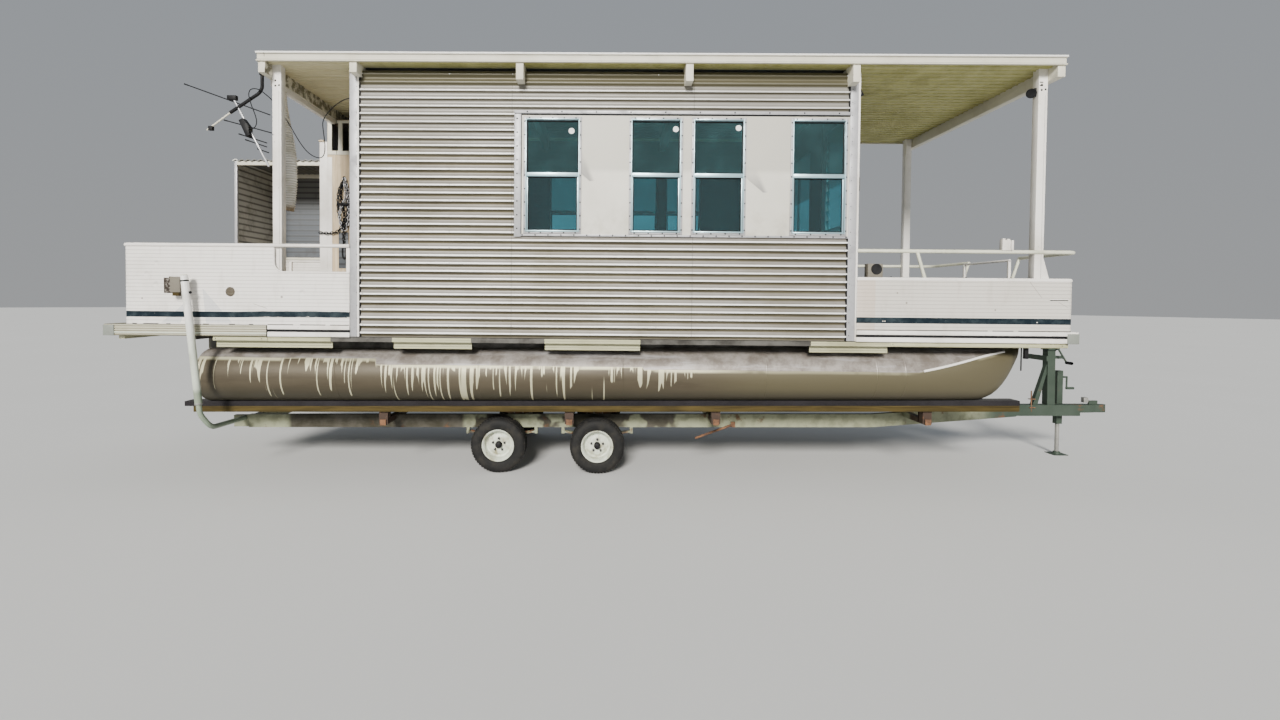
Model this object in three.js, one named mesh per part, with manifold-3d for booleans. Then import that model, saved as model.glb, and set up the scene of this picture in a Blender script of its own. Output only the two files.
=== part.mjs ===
// Pontoon houseboat on its tandem-axle bunk trailer.
// Millimetres. +X is the bow, +Y is port, +Z is up and the ground is z = 0.
// Inside the group X is measured from the middle of the cabin, and the group moves it to the
// middle between the stern trim and the nose of the trailer's coupler.
import * as THREE from "three";
import { mergeVertices } from "three/addons/utils/BufferGeometryUtils.js";
import Module from "manifold-3d";

const wasm = await Module();
wasm.setup();

// Driving dimensions

const GAP = 0.3; // seat gap between touching pieces
const RUN = 5; // running clearance of a moving piece
const SHIFT_X = -480; // from the cabin's middle to the middle of boat and trailer
const NOSE_UP = 0.0104; // pitch in radians of trailer and pontoons on their wheels

const deck = {
  aft: -4354, fore: 4073, top: 1375, floor: 25, half: 1179, trimHalf: 1246, trimBottom: 1275,
};
const channel = { aft: -3415, fore: 4004, bottom: 1235, top: 1275, half: 1220, width: 60 };
const cabin = { aft: -2210, fore: 2173, half: 1220, wall: 40, bottom: 1280, top: 3583, corner: 76, lap: 3 };
const rib = { pitch: 67.8, depth: 14, crest: 3419 }; // siding waves and the height of one crest
const band = { aft: -775, bottom: 2170, top: 3235, lap: 4, flange: 10 };
const sash = { bottom: 2187, top: 3190, frame: 24, glass: 5, seat: 6, deep: 12 };
// Windows of one side: name, aft edge and fore edge of the frame
const WINDOWS = [
  ["1", -706, -207],
  ["2", 203, 666],
  ["3", 740, 1209],
  ["4", 1589, 2078],
];
const PORT_WINDOWS = 3;
const door = { width: 700, bottom: 1392, top: 3400, edge: 6, inset: 2 };
const foreDoor = { side: -1120 };
const aftDoor = { side: -760 };
const foreWindow = { side: -60, width: 900, out: 17 };
const roof = { aft: -2950, fore: 3838, half: 1350, bottom: 3613, top: 3692, panel: 3625, fascia: 16 };
// Roof beams: aft face, fore face and underside
const BEAMS = [
  [-2943, -2885, 3520],
  [-2169, -2108, 3524],
  [-761, -699, 3470],
  [671, 733, 3465],
  [2071, 2132, 3466],
  [3773, 3835, 3517],
];
const BEAM_END = 1336;
// Board under the aftmost beam
const LEDGER = { aft: -2943, fore: -2900, from: -1140, to: 75, bottom: 3470 };
const post = { size: 76, outer: 1220, aft: -2884.7, fore: 3696.7 };
const fence = { half: 1240, skin: 6, frame: 30, corner: 100 };
const aftFence = {
  end: -4188, top: 2053, rail: 16, cutTop: 1835, cutAft: -2868, cutRound: 90, posts: [-3960, -3420, -2700],
};
const foreFence = {
  end: 4036, top: 1808, cap: 26, capWidth: 40, rail: 21, railZ: 2061, railEnd: 4090, bend: 150,
  posts: [2210, 2800, 3400, 3880],
};
// Stays under the fore rail: radius, top and foot of the side one, and place off the centreline
const stay = { radius: 14, top: 2690, foot: 2760, off: 1090, inset: 20 };
const bowGate = { half: 395 };
const sternGate = { from: -850, to: -150 };
const gate = { thick: 24, clear: 15, inset: 8, below: 60 };
const GATE_CLEAR = 8; // between a gate and the fence's end
const pontoon = { aft: -3744, nose: 2716, tip: 3838, radius: 243.5, y: 900, bottom: 698, cap: 90 };
// Nose of a pontoon: where its keel starts to rise, how far, its least width and its flat top's depth
const nose = { rise: 3300, share: 0.9, narrow: 0.14, top: 30, lift: 60 };
const bunk = { aft: -3831, fore: 3778, y: 900, width: 140, bottom: 598, top: 697.7 };
const rail = { aft: -3445, fore: 2600, y: 595, width: 50, bottom: 385, top: 510 };
const tongue = { aft: 3900, fore: 5020, width: 100, top: 500, bolster: 2963, meet: 4330, meetY: 60 };
const bolster = {
  size: 50, bottom: 472, half: 950, seat: 40, seatHalf: 35, stop: 30, stopNear: 823, stopTop: 650,
};
const BOLSTERS = [-2017, -308, 1037];
const wheel = { radius: 256, width: 200, rimWidth: 152, y: 795, sides: 28, rimSides: 20 };
const AXLES = [
  ["rear", -977],
  ["front", -55],
];
const axle = { radius: 30, spindle: 15, inner: 51, outer: 55 };
const jack = {
  x: 4880, y: 92, size: 60, wall: 5, bottom: 330, top: 900, leg: 20, legTop: 560, foot: 75, plate: 12,
};
const jackCrank = { z: 830, out: 95, radius: 10, gripZ: 710, gripEnd: 165, grip: 14 };
// Closet under the roof's aft end: the upper part stops short of the lower one and holds the vent
const closet = {
  aft: -3065, fore: -2210.3, near: 80, far: 1130, wall: 20, ledge: 3140, upperAft: -2985, top: 3519.7,
};
const closetPost = { fore: -2985, width: 40, top: 3285 };
const vent = { aft: -2982, fore: -2480, near: 76, bottom: 3146, top: 3514, screens: 4, frame: 40, bar: 35 };
// Lean-to of corrugated sheet that stands on the fence's rail and laps onto the closet's ledge
const leanTo = {
  aft: -4195, fore: -2990, near: 434, far: 1242, sheet: 20, top: 3145, roof: 10, lap: 20, bar: 30, plate: 40,
};
const doorLight = { margin: 110, bottom: 2300, top: 3250 };
const DOOR_PIN = { radius: 5, out: 6 };
const DOOR_HINGES = [1600, 2380, 3160];
const doorHandle = {
  inset: 45, bottom: 2330, top: 2500, half: 22, reach: 66, grip: 14, gripHalf: 55, stem: 12,
};
const springLeaf = { reach: 330, seat: 40, clamp: 60, thick: 30, low: 335, high: 350, half: 22 };
const springHanger = { half: 14, halfWide: 25, bottom: 325 };
// Guide poles: route of one from the rail out and up, and the lamp box at its top
const POLE_ROUTE = [
  [-3420, 620.3, 480],
  [-3420, 700, 480],
  [-3440, 780, 484],
  [-3480, 1215, 500],
  [-3530, 1300, 620],
  [-3575, 1340, 1850],
];
const pole = {
  radius: 24, bend: 140, boxAft: -3725, boxFore: -3560, near: 1318, far: 1362, low: 1680, high: 1825,
};

// Materials

function material(color, roughness, metalness) {
  return new THREE.MeshStandardMaterial({ color, roughness, metalness });
}
const paint = {
  white: material(0xe4e4e0, 0.5, 0.0),
  cream: material(0xd9d2ba, 0.6, 0.0),
  siding: material(0xb9b6ab, 0.4, 0.8),
  aluminium: material(0x9b968c, 0.45, 0.85),
  trim: material(0xc9c7bf, 0.5, 0.3),
  carpet: material(0x6d6a60, 0.95, 0.0),
  glass: material(0x2f5a5c, 0.08, 0.0),
  tan: material(0xb89b74, 0.8, 0.0),
  steel: material(0x6f7268, 0.6, 0.6),
  rust: material(0x7b5236, 0.8, 0.4),
  rubber: material(0x1b1b1b, 0.9, 0.0),
  rim: material(0xd6d2c8, 0.5, 0.2),
  black: material(0x202022, 0.6, 0.2),
  hose: material(0xe6e4dc, 0.6, 0.0),
  strap: material(0x2b2b30, 0.9, 0.0),
};

// Solids

function wound(g, flip) {
  const index = new Uint32Array(g.index.array);
  if (flip) index.reverse();
  const places = new Float32Array(g.attributes.position.array);
  return new wasm.Manifold(new wasm.Mesh({ numProp: 3, vertProperties: places, triVerts: index }));
}

function solid(geometry) {
  const plain = geometry.index ? geometry.toNonIndexed() : geometry;
  const g = new THREE.BufferGeometry().setAttribute("position", plain.getAttribute("position"));
  const merged = mergeVertices(g, 1e-3);
  const made = wound(merged, false);
  return made.volume() < 0 ? wound(merged, true) : made;
}

function geometryOf(body) {
  const m = body.getMesh();
  const place = new Float32Array(m.numVert * 3);
  for (let i = 0; i < m.numVert; i++) {
    place.set(m.vertProperties.subarray(i * m.numProp, i * m.numProp + 3), i * 3);
  }
  return new THREE.BufferGeometry()
    .setAttribute("position", new THREE.BufferAttribute(place, 3))
    .setIndex(new THREE.BufferAttribute(new Uint32Array(m.triVerts), 1));
}

const join = (bodies) => bodies.reduce((a, b) => a.add(b));
const cut = (body, tools) => tools.reduce((a, b) => a.subtract(b), body);

function box(x0, x1, y0, y1, z0, z1) {
  const g = new THREE.BoxGeometry(x1 - x0, y1 - y0, z1 - z0);
  return solid(g.translate((x0 + x1) / 2, (y0 + y1) / 2, (z0 + z1) / 2));
}

// The same box on the starboard (side -1) or port (side 1) half, from distances off the centreline.
function sideBox(side, x0, x1, near, far, z0, z1) {
  return box(x0, x1, Math.min(side * near, side * far), Math.max(side * near, side * far), z0, z1);
}

// An outline extruded along one axis: points are (y, z) for x, (x, z) for y and (x, y) for z.
function prism(axis, points, from, to) {
  const flat = axis === "y" ? points.map(([a, b]) => [b, a]) : points;
  const shape = new THREE.Shape(flat.map(([a, b]) => new THREE.Vector2(a, b)));
  const g = new THREE.ExtrudeGeometry(shape, { depth: to - from, bevelEnabled: false }).translate(0, 0, from);
  const turn = new THREE.Matrix4();
  if (axis === "x") turn.set(0, 0, 1, 0, 1, 0, 0, 0, 0, 1, 0, 0, 0, 0, 0, 1);
  if (axis === "y") turn.set(0, 1, 0, 0, 0, 0, 1, 0, 1, 0, 0, 0, 0, 0, 0, 1);
  return solid(g.applyMatrix4(turn));
}

// A round bar between two points.
function bar(a, b, radius, sides = 8) {
  const from = new THREE.Vector3(...a);
  const way = new THREE.Vector3(...b).sub(from);
  const g = new THREE.CylinderGeometry(radius, radius, way.length(), sides);
  const up = new THREE.Vector3(0, 1, 0);
  g.applyQuaternion(new THREE.Quaternion().setFromUnitVectors(up, way.clone().normalize()));
  return solid(g.translate(from.x + way.x / 2, from.y + way.y / 2, from.z + way.z / 2));
}

// A route that passes through each of its points once, one step of a sweep to a point.
class Route extends THREE.Curve {
  constructor(points) {
    super();
    this.points = points.map((p) => new THREE.Vector3(...p));
  }
  getPoint(t, target = new THREE.Vector3()) {
    const s = t * (this.points.length - 1);
    const i = Math.min(Math.floor(s), this.points.length - 2);
    return target.lerpVectors(this.points[i], this.points[i + 1], s - i);
  }
  getPointAt(t, target) {
    return this.getPoint(t, target);
  }
  getTangentAt(t, target = new THREE.Vector3()) {
    const last = this.points.length - 1;
    const i = Math.round(t * last);
    const here = this.points[i];
    const before = here.clone().sub(this.points[Math.max(i - 1, 0)]).normalize();
    const after = this.points[Math.min(i + 1, last)].clone().sub(here).normalize();
    return target.addVectors(before, after).normalize();
  }
}

// Rounds each inner corner of a line of points with an arc-like bend of the given reach.
function rounded(points, reach, steps = 4) {
  const p = points.map((q) => new THREE.Vector3(...q));
  const made = [p[0]];
  for (let i = 1; i < p.length - 1; i++) {
    const back = p[i - 1].clone().sub(p[i]);
    const on = p[i + 1].clone().sub(p[i]);
    const r = Math.min(reach, back.length() * 0.45, on.length() * 0.45);
    const bend = new THREE.QuadraticBezierCurve3(
      p[i].clone().add(back.setLength(r)),
      p[i],
      p[i].clone().add(on.setLength(r)),
    );
    made.push(...bend.getPoints(steps));
  }
  made.push(p[p.length - 1]);
  return made.map((q) => q.toArray());
}

function pipe(points, radius, sides = 8) {
  const section = new THREE.Shape();
  for (let i = 0; i < sides; i++) {
    const a = (2 * Math.PI * (i + 0.5)) / sides;
    if (i) section.lineTo(radius * Math.cos(a), radius * Math.sin(a));
    else section.moveTo(radius * Math.cos(a), radius * Math.sin(a));
  }
  const route = new Route(points);
  return solid(new THREE.ExtrudeGeometry(section, { steps: points.length - 1, extrudePath: route }));
}

// A body through closed sections of the same number of points, capped at both ends.
function loft(sections) {
  const n = sections[0].length;
  const place = sections.flat(2);
  const index = [];
  for (let s = 0; s < sections.length - 1; s++) {
    for (let i = 0; i < n; i++) {
      const a = s * n + i;
      const b = s * n + ((i + 1) % n);
      index.push(a, b, b + n, a, b + n, a + n);
    }
  }
  for (let i = 1; i < n - 1; i++) {
    const last = (sections.length - 1) * n;
    index.push(0, i + 1, i, last, last + i, last + i + 1);
  }
  const g = new THREE.BufferGeometry();
  g.setAttribute("position", new THREE.Float32BufferAttribute(place, 3));
  return solid(g.setIndex(index));
}

// A plate along a plan line of points, from its outer face inwards to the left of the line.
function planWall(line, thick, z0, z1) {
  const p = line.map(([x, y]) => new THREE.Vector2(x, y));
  const inner = p.map((q, i) => {
    const a = p[Math.max(i - 1, 0)];
    const b = p[Math.min(i + 1, p.length - 1)];
    const before = q.clone().sub(a);
    const after = b.clone().sub(q);
    const u = (i ? before : after).clone().normalize();
    const v = (i < p.length - 1 ? after : before).clone().normalize();
    const way = new THREE.Vector2(-(u.y + v.y), u.x + v.x).normalize();
    const grow = thick / Math.max(0.5, way.dot(new THREE.Vector2(-u.y, u.x)));
    return q.clone().addScaledVector(way, grow);
  });
  const outline = [...p, ...inner.reverse()].map((q) => [q.x, q.y]);
  return prism("z", outline, z0, z1);
}

// Plan line of a fence: along the side from the cabin, round the corner and across to the gate.
function fenceLine(side, from, end, gate, inset = 0) {
  const out = Math.sign(end);
  const half = (fence.half - inset) * side;
  const x = end - out * inset;
  const r = fence.corner - inset;
  const line = [[from, half]];
  for (let i = 0; i <= 4; i++) {
    const a = (i * Math.PI) / 8;
    line.push([x - out * r * (1 - Math.sin(a)), half - side * r * (1 - Math.cos(a))]);
  }
  line.push([x, gate]);
  return side * out < 0 ? line : line.reverse();
}

// Corrugated outline of a sheet in (out, z): flat inside face at 0, ribs up to out.
function ribbed(out, z0, z1) {
  const points = [[0, z0]];
  const wave = [
    [0.0, 1.0],
    [0.28, 0.35],
    [0.5, 0.0],
    [0.72, 0.35],
  ];
  const level = (z) => {
    const t = (((z - rib.crest) / rib.pitch) % 1 + 1) % 1;
    return out - rib.depth * (1 - Math.cos(2 * Math.PI * t)) * 0.5;
  };
  points.push([level(z0), z0]);
  const first = Math.floor((z0 - rib.crest) / rib.pitch) - 1;
  const last = Math.ceil((z1 - rib.crest) / rib.pitch) + 1;
  for (let k = first; k <= last; k++) {
    for (const [t, high] of wave) {
      const z = rib.crest + (k + t) * rib.pitch;
      if (z > z0 + 2 && z < z1 - 2) points.push([out - rib.depth * (1 - high), z]);
    }
  }
  points.push([level(z1), z1], [0, z1]);
  return points;
}

// Groups: the boat stands level, and the trailer with the pontoons in its bunks is nose-up.

const whole = new THREE.Group();
const level = new THREE.Group();
const pitched = new THREE.Group();
pitched.rotation.y = -NOSE_UP;
whole.position.x = SHIFT_X;
whole.add(level, pitched);

function piece(group, name, body, look) {
  const mesh = new THREE.Mesh(geometryOf(body), look);
  mesh.name = name;
  group.add(mesh);
}

const sideName = (side) => (side < 0 ? "starboard" : "port");
const SIDES = [-1, 1];
// Height in the level group of a place in the pitched group.
const lifted = (x, z) => z + NOSE_UP * x;

// Pontoons

function pontoonSection(x, grow) {
  const r = pontoon.radius;
  const top = pontoon.bottom + 2 * r;
  const t = Math.max(0, (x - pontoon.nose) / (pontoon.tip - pontoon.nose));
  const rise = Math.max(0, (x - nose.rise) / (pontoon.tip - nose.rise));
  const low = pontoon.bottom + 2 * r * (1 - Math.sqrt(Math.max(0, 1 - rise * rise))) * nose.share;
  const wide = r * Math.max(nose.narrow, Math.sqrt(Math.max(0, 1 - t * t * t)));
  const mid = Math.min(top - nose.top, pontoon.bottom + r + (r - nose.lift) * t * t);
  return { x, wide: wide + grow, low: low - grow, mid, top: top + grow };
}

function pontoonBody(side, grow) {
  const r = pontoon.radius;
  const sides = 24;
  const mid = pontoon.bottom + r;
  const stations = [];
  for (const [x, share] of [
    [pontoon.aft, 0.45],
    [pontoon.aft + 0.3 * pontoon.cap, 0.8],
    [pontoon.aft + pontoon.cap, 1],
  ]) {
    const wide = r * share + grow;
    stations.push({ x: x - grow, wide, low: mid - wide, mid, top: mid + wide });
  }
  for (const x of [pontoon.nose, 2950, 3200, 3420, 3560, 3680, 3770, pontoon.tip]) {
    stations.push(pontoonSection(x, grow));
  }
  const rings = stations.map((s) => {
    const ring = [];
    for (let i = 0; i < sides; i++) {
      const a = (2 * Math.PI * i) / sides;
      const up = Math.sin(a);
      const high = up > 0 ? s.top - s.mid : s.mid - s.low;
      ring.push([s.x, side * pontoon.y + s.wide * Math.cos(a), s.mid + high * up]);
    }
    return ring;
  });
  return loft(rings);
}

function addPontoons() {
  for (const side of SIDES) {
    piece(pitched, "pontoon_" + sideName(side), pontoonBody(side, 0), paint.aluminium);
  }
}

// Underframe: side channels, cross members, side joists, stringers on the pontoons and riser boards

const CROSS = { first: -4250, step: 640, count: 13, width: 50, bottom: 1240 };
const JOIST = { width: 30, bottom: 1280 };
const STRINGER = { aft: -3634, fore: 3600, half: 35, bottom: 1100, top: 1245 };
const BOARD = { near: 1160, far: 1175, bottom: 1176, top: 1245 };
// Cream boards that hang under the side channel: aft end and fore end
const RISER_BOARDS = [
  [-3410, -2384],
  [-1846, -1158],
  [-517, 316],
  [1793, 2472],
];

function addUnderframe() {
  const top = deck.top - deck.floor - GAP;
  const aft = deck.aft + deck.trimHalf - deck.half + 1;
  const fore = deck.fore - deck.trimHalf + deck.half - 1;
  const half = deck.half - 1;
  const inner = channel.half - channel.width;
  const bodies = [];
  const stringers = [];
  for (const side of SIDES) {
    bodies.push(sideBox(side, channel.aft, channel.fore, inner, channel.half, channel.bottom, channel.top));
    bodies.push(sideBox(side, aft, fore, half - JOIST.width, half, JOIST.bottom, top - 1));
    for (const [x0, x1] of RISER_BOARDS) {
      bodies.push(sideBox(side, x0, x1, BOARD.near, BOARD.far, BOARD.bottom, BOARD.top));
    }
    const near = pontoon.y - STRINGER.half;
    const far = pontoon.y + STRINGER.half;
    stringers.push(sideBox(side, STRINGER.aft, STRINGER.fore, near, far, STRINGER.bottom, STRINGER.top));
  }
  const crosses = Array.from({ length: CROSS.count }, (_, k) => CROSS.first + k * CROSS.step);
  crosses.push(fore - CROSS.width / 2);
  for (const x of crosses) {
    bodies.push(box(x - CROSS.width / 2, x + CROSS.width / 2, -half, half, CROSS.bottom, top));
  }
  const turn = -THREE.MathUtils.radToDeg(NOSE_UP);
  const floats = SIDES.map((side) => pontoonBody(side, GAP).rotate([0, turn, 0]));
  piece(level, "underframe", cut(join([...bodies, ...stringers]), floats), paint.aluminium);
}

// Deck floor and the trims around its edge

function addDeck() {
  const edge = deck.trimHalf - deck.half;
  const half = deck.half - GAP;
  const floor = box(deck.aft + edge, deck.fore - edge, -half, half, deck.top - deck.floor, deck.top);
  piece(level, "deck_floor", floor, paint.carpet);
  for (const [name, from, end] of [
    ["edge_trim_aft", cabin.aft - GAP, deck.aft],
    ["edge_trim_fore", cabin.fore + GAP, deck.fore],
  ]) {
    const inner = end - Math.sign(end) * (edge - GAP);
    const outline = [
      [from, -deck.trimHalf],
      [end, -deck.trimHalf],
      [end, deck.trimHalf],
      [from, deck.trimHalf],
      [from, deck.half],
      [inner, deck.half],
      [inner, -deck.half],
      [from, -deck.half],
    ];
    piece(level, name, prism("z", outline, deck.trimBottom + GAP, deck.top), paint.trim);
  }
}

// Cabin walls

const beamTools = () =>
  BEAMS.map(([x0, x1, z]) => box(x0 - 1, x1 + 1, -BEAM_END - 1, BEAM_END + 1, z - 1, roof.panel));

function addSideWalls() {
  const x0 = cabin.aft + cabin.corner + GAP;
  const x1 = cabin.fore - cabin.corner - GAP;
  const notch = box(band.aft - GAP, x1 + 1, -2000, 2000, band.bottom - GAP, band.top + GAP);
  for (const side of SIDES) {
    const outline = ribbed(cabin.wall, channel.top + 5, cabin.top).map(([out, z]) => [
      side * (cabin.half - cabin.wall + out),
      z,
    ]);
    const wall = prism("x", outline, x0, x1);
    piece(level, "cabin_wall_" + sideName(side), cut(wall, [notch, ...beamTools()]), paint.siding);
    addWindowBand(side, x1);
  }
}

// Smooth panel with the window frames of one side, and the panes in them.
function addWindowBand(side, foreEnd) {
  const inner = cabin.half - cabin.wall;
  const rows = side < 0 ? WINDOWS : WINDOWS.slice(0, PORT_WINDOWS);
  const bodies = [sideBox(side, band.aft, foreEnd, inner, cabin.half + band.lap, band.bottom, band.top)];
  for (const [, x0, x1] of rows) {
    bodies.push(sideBox(side, x0, x1, cabin.half - 5, cabin.half + band.flange, sash.bottom, sash.top));
  }
  const f = sash.frame;
  const holes = rows.map(([, x0, x1]) =>
    sideBox(side, x0 + f, x1 - f, inner - 1, cabin.half + 2 * band.flange, sash.bottom + f, sash.top - f),
  );
  const seats = rows.map(([, x0, x1]) => pane(side, x0, x1, GAP));
  piece(level, "window_band_" + sideName(side), cut(join(bodies), [...holes, ...seats]), paint.trim);
  for (const [name, x0, x1] of rows) {
    piece(level, "window_glass_" + sideName(side) + "_" + name, pane(side, x0, x1, 0), paint.glass);
  }
}

function pane(side, x0, x1, grow) {
  const e = sash.frame - sash.seat - grow;
  const near = cabin.half - sash.deep - sash.glass / 2 - grow;
  const far = cabin.half - sash.deep + sash.glass / 2 + grow;
  return sideBox(side, x0 + e, x1 - e, near, far, sash.bottom + e, sash.top - e);
}

function doorHole(side, outer, inner) {
  return box(outer, inner, side, side + door.width, deck.top + GAP, door.top);
}

function endWall(x0, x1, inside) {
  const half = cabin.half + cabin.lap;
  const bodies = [box(x0, x1, -half, half, deck.top + GAP, cabin.top)];
  for (const side of SIDES) {
    const low = channel.top + 5;
    const from = Math.min(x0, inside);
    const to = Math.max(x1, inside);
    bodies.push(sideBox(side, from, to, deck.half + 1, half, low, cabin.top));
  }
  return cut(join(bodies), beamTools());
}

function addEndWalls() {
  const aftIn = cabin.aft + cabin.wall;
  const foreIn = cabin.fore - cabin.wall;
  const aft = endWall(cabin.aft, aftIn, cabin.aft + cabin.corner);
  const aftWall = cut(aft, [doorHole(aftDoor.side, cabin.aft - 50, aftIn + 1)]);
  const aftHinges = doorHinges(-1, cabin.aft, aftDoor.side, true);
  piece(level, "cabin_wall_aft", join([aftWall, ...aftHinges]), paint.trim);
  const glassEdge = foreWindow.side + foreWindow.width;
  const hole = box(foreIn - 1, cabin.fore + 50, foreWindow.side, glassEdge, sash.bottom, sash.top);
  const glass = (grow) =>
    box(
      cabin.fore - foreWindow.out - sash.glass - grow,
      cabin.fore - foreWindow.out + grow,
      foreWindow.side - sash.seat - grow,
      glassEdge + sash.seat + grow,
      sash.bottom - sash.seat - grow,
      sash.top + sash.seat + grow,
    );
  const fore = endWall(foreIn, cabin.fore, cabin.fore - cabin.corner);
  const open = [doorHole(foreDoor.side, foreIn - 1, cabin.fore + 50), hole, glass(GAP)];
  const foreHinges = doorHinges(1, cabin.fore, foreDoor.side, true);
  piece(level, "cabin_wall_fore", join([cut(fore, open), ...foreHinges]), paint.trim);
  piece(level, "window_glass_fore", glass(0), paint.glass);
}

// The reach of something that stands off a face, in order along X.
const offFace = (face, out, a, b) => (out > 0 ? [face + a, face + b] : [face - b, face - a]);

// Both halves of a door's hinges on the outer face of an end wall, at the opening's port edge
function doorHinges(out, face, side, fixed) {
  const x = face + out * DOOR_PIN.out;
  const y = side + door.width - door.edge / 2;
  const arm = fixed ? [y + 1, y + 11] : [y - 9, y - 1];
  const reach = -out * (DOOR_PIN.out + (fixed ? 2 : 4));
  const lift = fixed ? 0 : HINGE_HIGH + GAP;
  return DOOR_HINGES.flatMap((z) => knuckle(x, y, z + lift, DOOR_PIN.radius, reach, arm));
}

// A door leaf with its light cut out and a handle on the outside; it hinges on its port edge.
function doorLeaf(x0, x1, out, from) {
  const y0 = from + door.edge;
  const y1 = from + door.width - door.edge;
  const face = out > 0 ? x1 : x0;
  const leaf = box(x0, x1, y0, y1, door.bottom, door.top - door.edge);
  const m = doorLight.margin;
  const light = box(x0 - 1, x1 + 1, y0 + m, y1 - m, doorLight.bottom, doorLight.top);
  const h = doorHandle;
  const y = y0 + h.inset;
  const mid = (h.bottom + h.top) / 2;
  const grip = offFace(face, out, h.reach - 18, h.reach);
  const handle = [
    box(...offFace(face, out, -2, h.grip), y - h.half, y + h.half, h.bottom, h.top),
    bar([face, y, mid], [face + out * (h.reach - 4), y, mid], h.stem, 10),
    box(...grip, y - h.grip, y + h.grip, mid - h.gripHalf, mid + h.gripHalf),
  ];
  return join([cut(leaf, [light]), ...handle, ...doorHinges(out, face + out * door.inset, from, false)]);
}

function addDoors() {
  const foreIn = cabin.fore - cabin.wall;
  const fore = doorLeaf(foreIn + door.inset, cabin.fore - door.inset, 1, foreDoor.side);
  piece(level, "door_fore", fore, paint.white);
  const aftIn = cabin.aft + cabin.wall;
  const aft = doorLeaf(cabin.aft + door.inset, aftIn - door.inset, -1, aftDoor.side);
  piece(level, "door_aft", aft, paint.white);
}

// Roof panel with its fascia and beams, and the posts of both porches

function addRoof() {
  const inner = roof.half - roof.fascia;
  const slab = box(roof.aft, roof.fore, -roof.half, roof.half, roof.bottom, roof.top);
  const aft = roof.aft + roof.fascia;
  const fore = roof.fore - roof.fascia;
  const recess = box(aft, fore, -inner, inner, roof.bottom - 1, roof.panel);
  const beams = BEAMS.map(([x0, x1, z]) => box(x0, x1, -BEAM_END, BEAM_END, z, roof.panel + 5));
  beams.push(box(LEDGER.aft, LEDGER.fore, LEDGER.from, LEDGER.to, LEDGER.bottom, BEAMS[0][2] + 5));
  piece(level, "roof", join([cut(slab, [recess]), ...beams]), paint.white);
  for (const [name, x] of [
    ["aft", post.aft],
    ["fore", post.fore],
  ]) {
    for (const side of SIDES) {
      const near = post.outer - post.size;
      const body = sideBox(side, x, x + post.size, near, post.outer, deck.top + GAP, roof.panel - GAP);
      piece(level, "post_" + name + "_" + sideName(side), body, paint.white);
    }
  }
}

// Fences, rails and gates

// Heights of the hinges' undersides; the fixed half of a hinge is below and the moving half rests on it.
const GATE_HINGES = [1450, 1700];
const HINGE_HIGH = 40; // of one half
const GATE_PIN = 7;
const GATE_ARM = 9;

// One half of a pin hinge: a knuckle about the axis and an arm from it along X and Y.
function knuckle(x, y, z, pin, armX, armY) {
  const [x0, x1] = armX > 0 ? [x, x + armX] : [x + armX, x];
  const arm = box(x0, x1, Math.min(...armY), Math.max(...armY), z, z + HINGE_HIGH);
  return [bar([x, y, z], [x, y, z + HINGE_HIGH], pin, 10), arm];
}

// Both halves of a gate's hinges at the end of a fence; out is 1 at the bow and -1 at the stern.
function gateHinges(out, postFace, y, fixed) {
  const x = postFace - out * GATE_PIN;
  const arm = fixed ? [y - 10, y] : [y + 3, y + 9];
  const reach = out * (fixed ? GATE_ARM : GATE_ARM + 6);
  return GATE_HINGES.flatMap((z) => knuckle(x, y, z + (fixed ? 0 : HINGE_HIGH + GAP), GATE_PIN, reach, arm));
}

function uprights(side, places, z0, z1) {
  const outer = fence.half - fence.skin + 1;
  const half = fence.frame / 2;
  return places.map((x) => sideBox(side, x - half, x + half, outer - fence.frame, outer, z0, z1));
}

// The upright at a gate, on the inner face of a fence's end.
function gatePost(side, x0, gate, z0, z1) {
  const y = [gate, gate + side * fence.frame];
  return box(x0, x0 + fence.frame, Math.min(...y), Math.max(...y), z0, z1);
}

function addAftFence(side) {
  const from = cabin.aft - GAP;
  const end = side < 0 ? sternGate.from : sternGate.to;
  const base = deck.top + GAP;
  const skin = planWall(fenceLine(side, from, aftFence.end, end), fence.skin, base, aftFence.top);
  const posts = uprights(side, aftFence.posts, base, aftFence.top);
  const cross = aftFence.end + fence.skin - 1;
  posts.push(gatePost(side, cross, end, base, aftFence.top));
  if (side < 0) posts.push(...gateHinges(-1, cross + fence.frame, end + GATE_CLEAR / 2, true));
  let body = join([skin, ...posts]);
  if (side < 0) {
    const r = aftFence.cutRound;
    const over = 20;
    const window = [
      [from + over, aftFence.top + over],
      [aftFence.cutAft, aftFence.top + over],
    ];
    for (let i = 0; i <= 4; i++) {
      const a = (i * Math.PI) / 8;
      window.push([aftFence.cutAft + r * (1 - Math.cos(a)), aftFence.cutTop + r * (1 - Math.sin(a))]);
    }
    window.push([from + over, aftFence.cutTop]);
    body = cut(body, [prism("y", window, -fence.half - over, -fence.half + fence.frame + over)]);
  }
  const z = aftFence.top + aftFence.rail - 3;
  const inset = fence.skin / 2;
  const line = fenceLine(side, from, aftFence.end, end, inset).map(([x, y]) => [x, y, z]);
  const last = uprights(side, [from - fence.frame / 2], base, z);
  piece(level, "fence_aft_" + sideName(side), join([body, pipe(line, aftFence.rail), ...last]), paint.white);
}

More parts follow.
